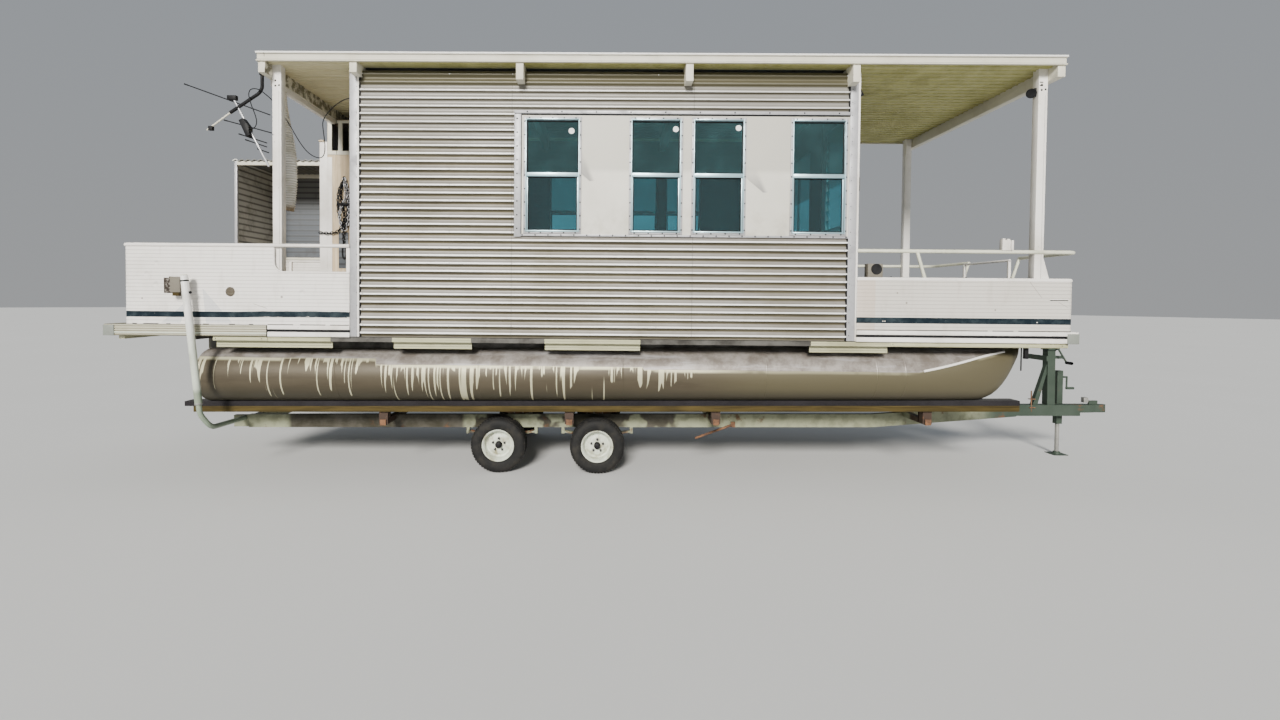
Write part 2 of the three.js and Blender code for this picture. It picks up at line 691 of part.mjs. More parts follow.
function addForeFence(side) {
  const from = cabin.fore + GAP;
  const end = side * (bowGate.half + GATE_CLEAR);
  const base = deck.top + GAP;
  const line = fenceLine(side, from, foreFence.end, end);
  const skin = planWall(line, fence.skin, base, foreFence.top + 2);
  const cap = planWall(line, foreFence.capWidth, foreFence.top, foreFence.top + foreFence.cap);
  const posts = uprights(side, foreFence.posts, base, foreFence.top + 2);
  const inner = foreFence.end - fence.skin + 1 - fence.frame;
  posts.push(gatePost(side, inner, end, base, foreFence.top + 2));
  if (side < 0) posts.push(...gateHinges(1, inner, end + GATE_CLEAR / 2, true));
  const z = foreFence.railZ;
  const capTop = foreFence.top + foreFence.cap - 2;
  const y = side * (fence.half - stay.inset);
  const across = foreFence.railEnd;
  const foot = foreFence.end - stay.inset;
  const last = end + side * stay.inset;
  const corner = [
    [from, y, z],
    [across, y, z],
    [across, last, z],
  ];
  const stays = [bar([stay.top, y, z], [stay.foot, y, capTop], stay.radius)];
  for (const d of [side * stay.off, last + side * 4]) {
    stays.push(bar([across, d, z], [foot, d, capTop], stay.radius));
  }
  const body = join([skin, cap, ...posts, pipe(rounded(corner, foreFence.bend), foreFence.rail), ...stays]);
  const near = post.outer - 2 * post.size;
  const [x0, x1] = [post.fore - GAP, post.fore + post.size + GAP];
  const clear = sideBox(side, x0, x1, near, post.outer + GAP, deck.top, foreFence.railZ + post.size);
  piece(level, "fence_fore_" + sideName(side), cut(body, [clear]), paint.white);
}

function gateLeaf(x0, x1, y0, y1, top, railZ) {
  const base = deck.top + gate.clear;
  const mid = (x0 + x1) / 2;
  const frame = [
    box(x0, x1, y0, y0 + gate.thick, base, railZ),
    box(x0, x1, y1 - gate.thick, y1, base, railZ),
    box(x0 + gate.inset, x1 - gate.inset, y0 + 5, y1 - 5, base, top),
    bar([mid, y0, railZ], [mid, y1, railZ], gate.thick / 2),
  ];
  return join(frame);
}

function addGates() {
  const xb = foreFence.end - RUN;
  const { half } = bowGate;
  const bow = [gateLeaf(xb - gate.thick, xb, -half, half, foreFence.top, foreFence.railZ - 20)];
  const foreFace = foreFence.end - fence.skin + 1 - fence.frame;
  bow.push(...gateHinges(1, foreFace, -half - GATE_CLEAR / 2, false));
  piece(level, "gate_bow", join(bow), paint.white);
  const xs = aftFence.end + RUN;
  const y0 = sternGate.from + GATE_CLEAR;
  const y1 = sternGate.to - GATE_CLEAR;
  const stern = [gateLeaf(xs, xs + gate.thick, y0, y1, aftFence.top - gate.below, aftFence.top)];
  const aftFace = aftFence.end + fence.skin - 1 + fence.frame;
  stern.push(...gateHinges(-1, aftFace, y0 - GATE_CLEAR / 2, false));
  piece(level, "gate_stern", join(stern), paint.white);
}

// Closet with its vent, and the open lean-to behind it

function addCloset() {
  const base = deck.top + GAP;
  const c = closet;
  const w = c.wall;
  const shell = join([
    box(c.aft, c.fore, c.near, c.far, base, c.ledge),
    box(c.upperAft, c.fore, c.near, c.far, c.ledge - 5, c.top),
    box(c.aft, closetPost.fore, c.near, c.near + closetPost.width, base, closetPost.top),
  ]);
  const hollow = join([
    box(c.aft + w, c.fore + 1, c.near + w, c.far - w, base - 1, c.ledge - w),
    box(c.upperAft + w, c.fore + 1, c.near + w, c.far - w, c.ledge - w - 1, c.top - w),
  ]);
  const near = vent.near - 1;
  const far = c.near + w + 1;
  const seat = box(vent.aft - GAP, vent.fore + GAP, near, far, vent.bottom - GAP, vent.top + GAP);
  const upperPost = box(c.aft, closetPost.fore, c.near + w, c.near + closetPost.width, base, closetPost.top);
  piece(level, "closet", cut(join([cut(shell, [hollow]), upperPost]), [seat]), paint.tan);
  const frame = box(vent.aft, vent.fore, vent.near, c.near + w, vent.bottom, vent.top);
  const pitch = (vent.fore - vent.aft - 2 * vent.frame + vent.bar) / vent.screens;
  const screens = [];
  for (let k = 0; k < vent.screens; k++) {
    const x = vent.aft + vent.frame + k * pitch;
    screens.push(box(x, x + pitch - vent.bar, near, far, vent.bottom + vent.frame, vent.top - vent.frame));
  }
  piece(level, "closet_vent", cut(frame, screens), paint.cream);
}

// Corrugated outline of a roof sheet in (x, z), of even thickness.
function wavy(x0, x1, z, thick) {
  const steps = Math.round((x1 - x0) / rib.pitch) * 4;
  const low = [];
  for (let i = 0; i <= steps; i++) {
    low.push([x0 + ((x1 - x0) * i) / steps, z + (rib.depth / 2) * (1 - Math.cos((i * Math.PI) / 2))]);
  }
  return [...low, ...low.map(([x, h]) => [x, h + thick]).reverse()];
}

function addLeanTo() {
  const { aft, fore, near, far, sheet, top, lap } = leanTo;
  const seat = aftFence.top + aftFence.rail - 3;
  const base = seat + aftFence.rail * Math.cos(Math.PI / 8) + GAP;
  const end = closet.aft - GAP;
  const under = top + 5;
  const rows = (place) => ribbed(sheet, base, under).map(([out, z]) => [place(out), z]);
  const walls = [
    prism("y", rows((out) => aft + sheet - out), near, far),
    prism("x", rows((out) => far - sheet + out), aft, end),
  ];
  const b = leanTo.bar;
  const frame = [
    box(aft - 5, aft + b - 5, near - 4, near + b - 4, base, under),
    box(aft, end, near, near + b, top - leanTo.plate, under),
    box(aft, end, far - sheet - b, far - sheet + 2, top - leanTo.plate, under),
  ];
  const cover = prism("y", wavy(aft - lap, fore, top + GAP, leanTo.roof), near - lap, far + lap);
  piece(level, "lean_to", join([...walls, ...frame, cover]), paint.siding);
}

// Loose lines and the aerial at the aft starboard post

// Duct: hangs from the board under the aftmost beam, inside the post.
const DUCT = [
  [-2930, -1000, 3469.7],
  [-2930, -1000, 3400],
  [-2922, -1000, 3320],
  [-2908, -1000, 3240],
  [-2890, -1000, 3150],
  [-2870, -1000, 3050],
  [-2852, -1000, 2950],
  [-2841, -1000, 2850],
  [-2837, -1000, 2750],
  [-2838, -1000, 2650],
  [-2844, -1000, 2560],
  [-2854, -1000, 2480],
  [-2866, -1000, 2400],
];
const DUCT_RADIUS = 56;
// Coaxial lead: from the balun box, past the post and into the cabin's aft wall.
const COAX = [
  [-3051, -1276, 3060],
  [-3020, -1276, 3062],
  [-2996, -1276, 3090],
  [-2992, -1276, 3132],
  [-3008, -1276, 3190],
  [-3032, -1276, 3250],
  [-3048, -1276, 3306],
  [-3058, -1276, 3352],
  [-3044, -1276, 3390],
  [-3005, -1276, 3400],
  [-2962, -1270, 3388],
  [-2936, -1230, 3366],
  [-2916, -1175, 3340],
  [-2895, -1130, 3308],
  [-2862, -1120, 3256],
  [-2829, -1120, 3206],
  [-2782, -1120, 3128],
  [-2735, -1120, 3048],
  [-2686, -1120, 2970],
  [-2630, -1120, 2902],
  [-2568, -1120, 2860],
  [-2515, -1120, 2850],
  [-2484, -1120, 2876],
  [-2474, -1120, 2930],
  [-2478, -1120, 3006],
  [-2488, -1120, 3086],
  [-2492, -1120, 3162],
  [-2460, -1120, 3228],
  [-2412, -1120, 3282],
  [-2360, -1120, 3326],
  [-2300, -1120, 3360],
  [-2246, -1120, 3373],
  [-2210.5, -1120, 3373],
];
const COAX_RADIUS = 4;

// Aerial members: ends and radius. The mast foot is clamped to the roof's first beam.
const AERIAL = [
  [[-2961, -1240, 3560], [-2961, -1240, 3418], 14],
  [[-2960, -1240, 3424], [-2990, -1240, 3368], 14],
  [[-2986, -1240, 3372], [-3240, -1240, 3205], 14],
  [[-3230, -1240, 3211], [-3442, -1240, 3055], 7],
  [[-3217, -1240, 3339], [-2906, -1240, 2746], 9],
  [[-3636, -1240, 3449], [-2892, -1240, 3187], 4],
  [[-3294, -1240, 3142], [-2878, -1240, 3033], 4],
  [[-3166, -1240, 3024], [-2922, -1240, 2947], 4],
  [[-3110, -1240, 2975], [-2922, -1240, 2913], 4],
  [[-3004, -1240, 2897], [-2905, -1240, 2863], 4],
];

function addLines() {
  piece(level, "duct", pipe(DUCT, DUCT_RADIUS, 12), paint.hose);
  piece(level, "coax", pipe(COAX, COAX_RADIUS, 8), paint.black);
  const members = AERIAL.map(([a, b, r]) => bar(a, b, r));
  const balun = [
    [-3140, 3129],
    [-3104, 3148],
    [-3052.3, 3078],
    [-3052.3, 3032],
    [-3043, 3006],
    [-3076, 2989],
  ];
  const clamp = box(-3258, -3180, -1258, -1222, 3312, 3350);
  const grip = box(-2976, BEAMS[0][0] - GAP, -1262, -1218, 3524, 3590);
  piece(level, "aerial", join([...members, prism("y", balun, -1290, -1226), clamp, grip]), paint.black);
}

// Trailer frame, bunks, suspension and running gear

// A spring's leaves on the axle and the two hangers under the rail.
function spring(x, side) {
  const seat = wheel.radius + axle.radius + GAP - NOSE_UP * x;
  const { reach, thick, clamp, low, high } = springLeaf;
  const outline = [
    [x - springLeaf.seat, seat],
    [x + springLeaf.seat, seat],
    [x + reach, low],
    [x + reach, high],
    [x + clamp, seat + thick],
    [x - clamp, seat + thick],
    [x - reach, high],
    [x - reach, low],
  ];
  const y = side * rail.y;
  const leaves = prism("y", outline, y - springLeaf.half, y + springLeaf.half);
  const { half, halfWide, bottom } = springHanger;
  const hangers = [x - reach, x + reach].map((d) =>
    box(d - half, d + half, y - halfWide, y + halfWide, bottom, rail.bottom + 5),
  );
  return join([leaves, ...hangers]);
}

// A cross tube with the seats of both bunks and the stops beside them.
function bolsterTube(x) {
  const { size, bottom, half, seat, seatHalf, stop, stopNear, stopTop } = bolster;
  const low = bottom + 5;
  const stopFar = bunk.y - bunk.width / 2 - GAP;
  const bodies = [box(x - size / 2, x + size / 2, -half, half, bottom, bottom + size)];
  for (const side of SIDES) {
    const top = bunk.bottom - GAP;
    bodies.push(sideBox(side, x - seat, x + seat, bunk.y - seatHalf, bunk.y + seatHalf, low, top));
    bodies.push(sideBox(side, x - stop, x + stop, stopNear, stopFar, low, stopTop));
  }
  return join(bodies);
}

function addTrailerFrame() {
  const bodies = BOLSTERS.map(bolsterTube);
  const half = rail.width / 2;
  for (const side of SIDES) {
    const y = side * rail.y;
    bodies.push(box(rail.aft, rail.fore, y - half, y + half, rail.bottom, rail.top));
    for (const [, x] of AXLES) bodies.push(spring(x, side));
  }
  bodies.push(box(rail.aft, rail.aft + 60, -rail.y, rail.y, rail.bottom + 15, rail.top - 10));
  piece(pitched, "trailer_frame", join(bodies), paint.steel);
}

// The arms that carry the rails on to the tongue, the tongue and the bolster on them
function addTongue() {
  const { meet, meetY, aft, fore, width, top } = tongue;
  const from = rail.fore + GAP;
  const half = rail.width / 2;
  const bodies = [bolsterTube(tongue.bolster), box(aft, fore, -width / 2, width / 2, rail.bottom, top)];
  for (const side of SIDES) {
    const arm = [
      [from, side * rail.y - half],
      [meet, side * meetY - half],
      [meet, side * meetY + half],
      [from, side * rail.y + half],
    ];
    bodies.push(prism("z", arm, rail.bottom, rail.top));
  }
  piece(pitched, "trailer_tongue", join(bodies), paint.steel);
}

function addBunks() {
  const near = bunk.y - bunk.width / 2;
  for (const side of SIDES) {
    const board = sideBox(side, bunk.aft, bunk.fore, near, near + bunk.width, bunk.bottom, bunk.top);
    piece(pitched, "bunk_" + sideName(side), board, paint.black);
  }
}

// Half outline of the coupler: distance from its aft end and distance off the centreline
const COUPLER_EDGE = [
  [0, 50],
  [90, 50],
  [170, 34],
  [240, 40],
  [282, 24],
  [297.6, 0],
];
const coupler = { bottom: 420, ball: 26, ballAt: 250, latch: [120, 210] };

function addHitch() {
  const x0 = tongue.fore + GAP;
  const outline = COUPLER_EDGE.map(([d, y]) => [x0 + d, -y]);
  outline.push(...COUPLER_EDGE.slice(0, -1).reverse().map(([d, y]) => [x0 + d, y]));
  const shell = prism("z", outline, coupler.bottom, tongue.top);
  const ball = new THREE.SphereGeometry(coupler.ball, 12, 8);
  const socket = solid(ball.translate(x0 + coupler.ballAt, 0, coupler.bottom + 4));
  const latch = box(x0 + coupler.latch[0], x0 + coupler.latch[1], -10, 10, tongue.top - 5, tongue.top + 40);
  piece(pitched, "coupler", join([cut(shell, [socket]), latch]), paint.steel);
}

// Winch stand: post, its brace, the bow stop's arm with its pad, the winch's box and its crank
const winch = {
  aft: 4680, fore: 4760, half: 40, postTop: 1090, low: 1080, high: 1150, boxAft: 4672, boxFore: 4790,
  boxHalf: 60, shaftX: 4740, shaftZ: 1115, crankX: 4840, crankZ: 950, crankY: -90,
};
const bowStop = {
  aft: 4600, fore: 4860, z: 1000, half: 15, halfWide: 20, padAft: 4590, padFore: 4620, padHalf: 150,
};
const winchBrace = [
  [4540, tongue.top + GAP],
  [4590, tongue.top + GAP],
  [4700, 900],
  [4690, 930],
  [4680, 930],
];

function addWinchStand() {
  const { shaftX, shaftZ, crankX, crankY, crankZ, boxHalf } = winch;
  const { z, half, halfWide, padHalf } = bowStop;
  const bodies = [
    box(winch.aft, winch.fore, -winch.half, winch.half, tongue.top + GAP, winch.postTop),
    prism("y", winchBrace, -25, 25),
    box(bowStop.aft, bowStop.fore, -halfWide, halfWide, z - half, z + half),
    box(bowStop.padAft, bowStop.padFore, -padHalf, padHalf, z - 25, z + 25),
    box(winch.boxAft, winch.boxFore, -boxHalf, boxHalf, winch.low, winch.high),
    bar([shaftX, -boxHalf, shaftZ], [shaftX, crankY - 5, shaftZ], 10),
    bar([shaftX, crankY, shaftZ], [crankX, crankY, crankZ], 9),
    bar([crankX, crankY + 5, crankZ], [crankX, crankY - 75, crankZ], 14),
  ];
  piece(pitched, "winch_stand", join(bodies), paint.steel);
}

// Strap from the winch to the bow's edge trim: where its ends are, half its thickness and width
const strap = { x: 4658, z: 1115, bowZ: 1318, half: 3, halfWide: 25 };

function addStrap() {
  const { half, halfWide } = strap;
  const from = [strap.x, lifted(strap.x, strap.z)];
  const to = [deck.fore + GAP, strap.bowZ];
  const outline = [
    [to[0], to[1] - half],
    [from[0], from[1] - half],
    [from[0], from[1] + half],
    [to[0], to[1] + half],
  ];
  piece(level, "winch_strap", prism("y", outline, -halfWide, halfWide), paint.strap);
}

function addJack() {
  const { x, y, size, wall, bottom, top, leg, foot, plate } = jack;
  const h = size / 2;
  const i = h - wall;
  const collarHigh = 20;
  const tube = box(x - h, x + h, y - h, y + h, bottom, top);
  const bore = box(x - i, x + i, y - i, y + i, bottom + collarHigh, top - collarHigh);
  const collar = bar([x, y, bottom - 1], [x, y, bottom + collarHigh + 1], leg + GAP + 0.1, 12);
  const frameTop = lifted(x, tongue.top);
  const near = tongue.width / 2 + GAP;
  const bracket = box(x - 2 * h, x + 2 * h, near, near + plate, frameTop - 100, frameTop - 5);
  const c = jackCrank;
  const arm = x + c.out - 5;
  const crank = [
    bar([x, y, c.z], [x + c.out, y, c.z], c.radius),
    bar([arm, y, c.z + 5], [arm, y, c.gripZ - 10], c.radius - 1),
    bar([arm - 5, y, c.gripZ], [x + c.gripEnd, y, c.gripZ], c.grip),
  ];
  piece(level, "tongue_jack", join([cut(tube, [bore, collar]), bracket, ...crank]), paint.steel);
  const pad = box(x - foot, x + foot, y - foot, y + foot, 0, plate);
  piece(level, "jack_leg", join([bar([x, y, plate / 2], [x, y, jack.legTop], leg, 12), pad]), paint.steel);
}

function addGuidePoles() {
  const { radius, boxAft, boxFore, near, far, low, high } = pole;
  for (const side of SIDES) {
    const route = POLE_ROUTE.map(([x, y, z]) => [x, side * y, z]);
    const lamp = sideBox(side, boxAft, boxFore, near, far, low, high);
    const body = join([pipe(rounded(route, pole.bend), radius, 10), lamp]);
    piece(pitched, "guide_pole_" + sideName(side), body, paint.white);
  }
}

function lathe(profile, sides, side, x) {
  const flat = profile.map(([r, y]) => new THREE.Vector2(r, side * y));
  return solid(new THREE.LatheGeometry(flat, sides).translate(x, side * wheel.y, wheel.radius));
}

// Tyres and rims as profiles of radius and distance from the wheel's middle, and the axle beams
function addWheels() {
  const bead = wheel.rimWidth / 2;
  const half = wheel.width / 2;
  const tyre = [
    [136.5, bead],
    [147.5, bead],
    [152, 88],
    [190, half],
    [236, 92],
    [251, 76],
    [wheel.radius, 0],
    [251, -76],
    [236, -92],
    [190, -half],
    [152, -88],
    [147.5, -bead],
    [136.5, -bead],
    [136.5, bead],
  ];
  const rimProfile = [
    [0, 62],
    [16, 62],
    [16, -50],
    [42, -50],
    [42, 8],
    [104, 8],
    [122, -20],
    [126, -82],
    [146, -82],
    [146, -bead - GAP],
    [135.6, -bead - GAP],
    [135.6, bead + GAP],
    [146, bead + GAP],
    [146, 82],
    [128, 82],
    [122, 30],
    [100, 16],
    [42, 24],
    [36, 66],
    [0, 74],
  ];
  for (const [row, x] of AXLES) {
    for (const side of SIDES) {
      const name = row + "_" + sideName(side);
      piece(level, "tyre_" + name, lathe(tyre, wheel.sides, side, x), paint.rubber);
      piece(level, "rim_" + name, lathe(rimProfile, wheel.rimSides, side, x), paint.rim);
    }
    const z = wheel.radius;
    const inner = wheel.y - axle.inner;
    const outer = wheel.y + axle.outer;
    const beam = [
      bar([x, -inner, z], [x, inner, z], axle.radius, 12),
      bar([x, -outer, z], [x, outer, z], axle.spindle, 12),
    ];
    piece(level, "axle_" + row, join(beam), paint.rust);
  }
}

addPontoons();
addUnderframe();
addDeck();
addSideWalls();
addEndWalls();
addDoors();
addRoof();
for (const side of SIDES) {
  addAftFence(side);
  addForeFence(side);
}
addGates();
addCloset();
addLeanTo();
addLines();
addTrailerFrame();
addTongue();
addBunks();
addHitch();
addWinchStand();
addStrap();
addJack();
addGuidePoles();
addWheels();

export default whole;
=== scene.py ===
"""Looks of a pontoon houseboat on its tandem-axle trailer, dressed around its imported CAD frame.

Metres. +X is the bow, +Y is port and +Z is up. Laid out as an add-on and run as a script.
"""
from math import cos, pi, radians, sin, sqrt

import bmesh
import bpy
from bpy.props import FloatProperty, FloatVectorProperty, IntProperty, PointerProperty
from bpy.types import Operator, Panel, PropertyGroup
from mathutils import Matrix, Vector


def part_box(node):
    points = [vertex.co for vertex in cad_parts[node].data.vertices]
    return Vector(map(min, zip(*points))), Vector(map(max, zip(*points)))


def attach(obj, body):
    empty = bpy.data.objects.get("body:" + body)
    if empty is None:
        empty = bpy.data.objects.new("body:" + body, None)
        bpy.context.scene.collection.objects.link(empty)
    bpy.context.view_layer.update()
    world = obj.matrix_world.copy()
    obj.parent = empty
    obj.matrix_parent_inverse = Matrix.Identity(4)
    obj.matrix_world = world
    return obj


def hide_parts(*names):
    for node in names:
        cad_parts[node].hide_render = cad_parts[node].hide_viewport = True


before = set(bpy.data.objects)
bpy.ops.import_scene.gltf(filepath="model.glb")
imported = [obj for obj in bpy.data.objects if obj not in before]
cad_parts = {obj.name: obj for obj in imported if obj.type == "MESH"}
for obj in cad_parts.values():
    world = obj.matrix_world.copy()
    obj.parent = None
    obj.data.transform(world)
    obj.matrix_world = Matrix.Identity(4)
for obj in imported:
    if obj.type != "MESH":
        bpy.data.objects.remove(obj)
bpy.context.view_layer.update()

bl_info = {
    "name": "Pontoon houseboat",
    "version": (1, 0, 0),
    "blender": (4, 5, 0),
    "location": "View3D > Sidebar > Houseboat",
    "description": "Dresses a pontoon houseboat and its trailer around their CAD frame",
    "category": "Object",
}

BASE = "boat_on_trailer"
SIDES = ((-1, "starboard"), (1, "port"))
NOSE_UP = 0.0104  # pitch of trailer and pontoons, in radians
MIDDLE = -0.480  # X of the cabin's middle
CREST = 3.419  # Z of one crest of the siding


def at(x):
    """X in the frame of a distance from the cabin's middle."""
    return x + MIDDLE


def pitched(points):
    """Points of the nose-up trailer, given with X from the cabin's middle, in the frame."""
    c, s = cos(NOSE_UP), sin(NOSE_UP)
    return [Vector((x * c - z * s + MIDDLE, y, x * s + z * c)) for x, y, z in points]


# Materials


class Value:
    """A node's output, which can be added, taken away, multiplied and divided as a number can."""

    def __init__(self, finish, socket):
        self.finish = finish
        self.socket = socket

    def __add__(self, other):
        return self.finish.math("ADD", self, other)

    def __sub__(self, other):
        return self.finish.math("SUBTRACT", self, other)

    def __rsub__(self, other):
        return self.finish.math("SUBTRACT", other, self)

    def __mul__(self, other):
        return self.finish.math("MULTIPLY", self, other)

    def __truediv__(self, other):
        return self.finish.math("DIVIDE", self, other)

    def __abs__(self):
        return self.finish.math("ABSOLUTE", self)

    __radd__ = __add__
    __rmul__ = __mul__


class Finish:
    """A material whose colour, roughness and bump come from nodes on object coordinates."""

    def __init__(self, name, rough=0.5, metal=0.0, gloss=0.35, **sockets):
        self.material = bpy.data.materials.new(name)
        self.material.use_nodes = True
        self.tree = self.material.node_tree
        self.shader = self.tree.nodes["Principled BSDF"]
        self.put("Metallic", metal)
        self.put("Roughness", rough)
        self.put("Specular IOR Level", gloss)
        for key, value in sockets.items():
            self.put(key.replace("_", " "), value)
        self.place = self.node("ShaderNodeTexCoord").outputs["Object"]
        split = self.node("ShaderNodeSeparateXYZ")
        self.tree.links.new(self.place, split.inputs[0])
        self.x, self.y, self.z = (Value(self, socket) for socket in split.outputs)

    def node(self, kind, **settings):
        made = self.tree.nodes.new(kind)
        for key, value in settings.items():
            setattr(made, key, value)
        return made

    def feed(self, socket, value):
        """Links a value to a socket, or sets the socket to a number or colour."""
        if isinstance(value, Value):
            value = value.socket
        if isinstance(value, bpy.types.NodeSocket):
            self.tree.links.new(value, socket)
        elif hasattr(value, "__len__") and socket.type == "RGBA" and len(value) == 3:
            socket.default_value = (*value, 1.0)
        else:
            socket.default_value = value

    def put(self, name, value):
        self.feed(self.shader.inputs[name], value)

    def math(self, operation, a, b=0.0, clamp=False):
        made = self.node("ShaderNodeMath", operation=operation, use_clamp=clamp)
        self.feed(made.inputs[0], a)
        self.feed(made.inputs[1], b)
        return Value(self, made.outputs[0])

    def stretched(self, stretch):
        made = self.node("ShaderNodeMapping")
        self.feed(made.inputs["Vector"], self.place)
        made.inputs["Scale"].default_value = stretch
        return made.outputs[0]

    def noise(self, scale, detail=3.0, rough=0.55, stretch=None, distortion=0.0):
        made = self.node("ShaderNodeTexNoise")
        self.feed(made.inputs["Vector"], self.stretched(stretch) if stretch else self.place)
        made.inputs["Scale"].default_value = scale
        made.inputs["Detail"].default_value = detail
        made.inputs["Roughness"].default_value = rough
        made.inputs["Distortion"].default_value = distortion
        return Value(self, made.outputs["Fac"])

    def step(self, value, low, high):
        """0 below low, 1 above high and even between them; low may be above high."""
        made = self.node("ShaderNodeMapRange", interpolation_type="SMOOTHSTEP")
        self.feed(made.inputs["Value"], value)
        flip = low > high
        made.inputs["From Min"].default_value = high if flip else low
        made.inputs["From Max"].default_value = low if flip else high
        made.inputs["To Min"].default_value = 1.0 if flip else 0.0
        made.inputs["To Max"].default_value = 0.0 if flip else 1.0
        return Value(self, made.outputs[0])

    def within(self, value, low, high, soft):
        """1 between low and high, fading to 0 over the soft width at both ends."""
        up = self.step(value, low - soft, low + soft)
        return up * self.step(value, high + soft, high - soft)

    def mix(self, share, a, b):
        """Colour a where the share is 0 and b where it is 1."""
        made = self.node("ShaderNodeMix", data_type="RGBA")
        self.feed(made.inputs["Factor"], share)
        self.feed(made.inputs[6], a)
        self.feed(made.inputs[7], b)
        return Value(self, made.outputs[2])

    def blend(self, share, a, b):
        """Number a where the share is 0 and b where it is 1."""
        made = self.node("ShaderNodeMix", data_type="FLOAT")
        self.feed(made.inputs["Factor"], share)
        self.feed(made.inputs[2], a)
        self.feed(made.inputs[3], b)
        return Value(self, made.outputs[0])

    def bump(self, height, distance, strength=0.6):
        made = self.node("ShaderNodeBump")
        made.inputs["Distance"].default_value = distance
        made.inputs["Strength"].default_value = strength
        self.feed(made.inputs["Height"], height)
        self.put("Normal", made.outputs[0])

    def grooves(self, value, pitch, width, phase=0.0):
        """1 inside a groove of that width every pitch along the value, else 0."""
        turn = self.math("FRACT", (value - phase) / pitch)
        return self.step(turn, 1.5 * width / pitch, 0.5 * width / pitch)

    def off(self, x, z):
        """Distances in X and Z from a place on a side wall, its X given from the cabin's middle."""
        return self.x - at(x), self.z - z

    def spot(self, x, z, radius, soft=0.3):
        """1 within a radius of a place on a side wall."""
        dx, dz = self.off(x, z)
        square = dx * dx + dz * dz
        return self.step(self.math("SQRT", square), radius, radius * (1 - soft))

    def stroke(self, start, end, width):
        """1 along a line on a side wall, fading over its width."""
        dx, dz = self.off(*start)
        way = Vector((end[0] - start[0], end[1] - start[1]))
        u, w = way.normalized()
        along = dx * u + dz * w
        across = dx * w - dz * u
        near = self.step(abs(across), width, 0.2 * width)
        return near * self.within(along, 0.0, way.length, width)

    def indoors(self):
        """1 on the faces that look into the cabin."""
        y = abs(self.y)
        x = abs(self.x - MIDDLE)
        return self.step(y, 1.200, 1.194) * self.step(x, 2.188, 2.178)

    def most(self, shares):
        """The greatest of several shares, on the starboard side only."""
        top = shares[0]
        for share in shares[1:]:
            top = self.math("MAXIMUM", top, share)
        return top * self.step(self.y, 0.0, -0.1)


def colour(key):
    return tuple(getattr(bpy.context.scene.houseboat_colours, key))


def worn_paint(name, base, dirt, rough=0.45, scale=1.0, metal=0.0, dirt_share=0.5):
    """Paint with soft cloudy dirt, thin vertical runs and small chips."""
    f = Finish(name, metal=metal)
    cloud = f.noise(2.2 * scale, 5.0, 0.62)
    runs = f.noise(6.0 * scale, 4.0, 0.6, stretch=(1.0, 1.0, 0.12))
    share = f.step(cloud, 0.42, 0.75) * dirt_share
    share = share + f.step(runs, 0.58, 0.8) * (0.25 * dirt_share / 0.5)
    tone = f.mix(share, base, dirt)
    chips = f.step(f.noise(38.0 * scale, 2.0), 0.74, 0.78)
    tone = f.mix(chips * 0.55, tone, [0.45 * c for c in dirt])
    f.tone = tone
    f.put("Base Color", tone)
    f.put("Roughness", f.blend(share, rough, min(rough + 0.25, 1.0)))
    f.bump(f.noise(60.0 * scale, 3.0), 0.0006)
    return f


def cream_finish():
    """Cream paint, stained dark on the aft beam's inner face."""
    f = worn_paint("cream_roof_paint", colour("fascia"), (0.36, 0.32, 0.22), 0.5, dirt_share=0.4)
    stain = f.within(f.x, at(-2.889), at(-2.881), 0.002) * f.step(f.noise(16.0, 5.0, 0.7), 0.40, 0.55)
    f.put("Base Color", f.mix(stain * 0.85, f.tone, (0.10, 0.09, 0.05)))
    return f


# X ranges of the painted shadow dashes in the gap along the fences' foot
DASHES = (
    (-4.106, -4.067), (-4.012, -3.878), (-3.811, -3.771), (-3.490, -3.437), (-3.262, -3.209),
    (-3.088, -3.049), (-2.925, -2.700), (-2.640, -2.420), (-2.380, -2.215), (2.175, 3.300), (3.340, 3.520),
    (3.560, 4.050),
)


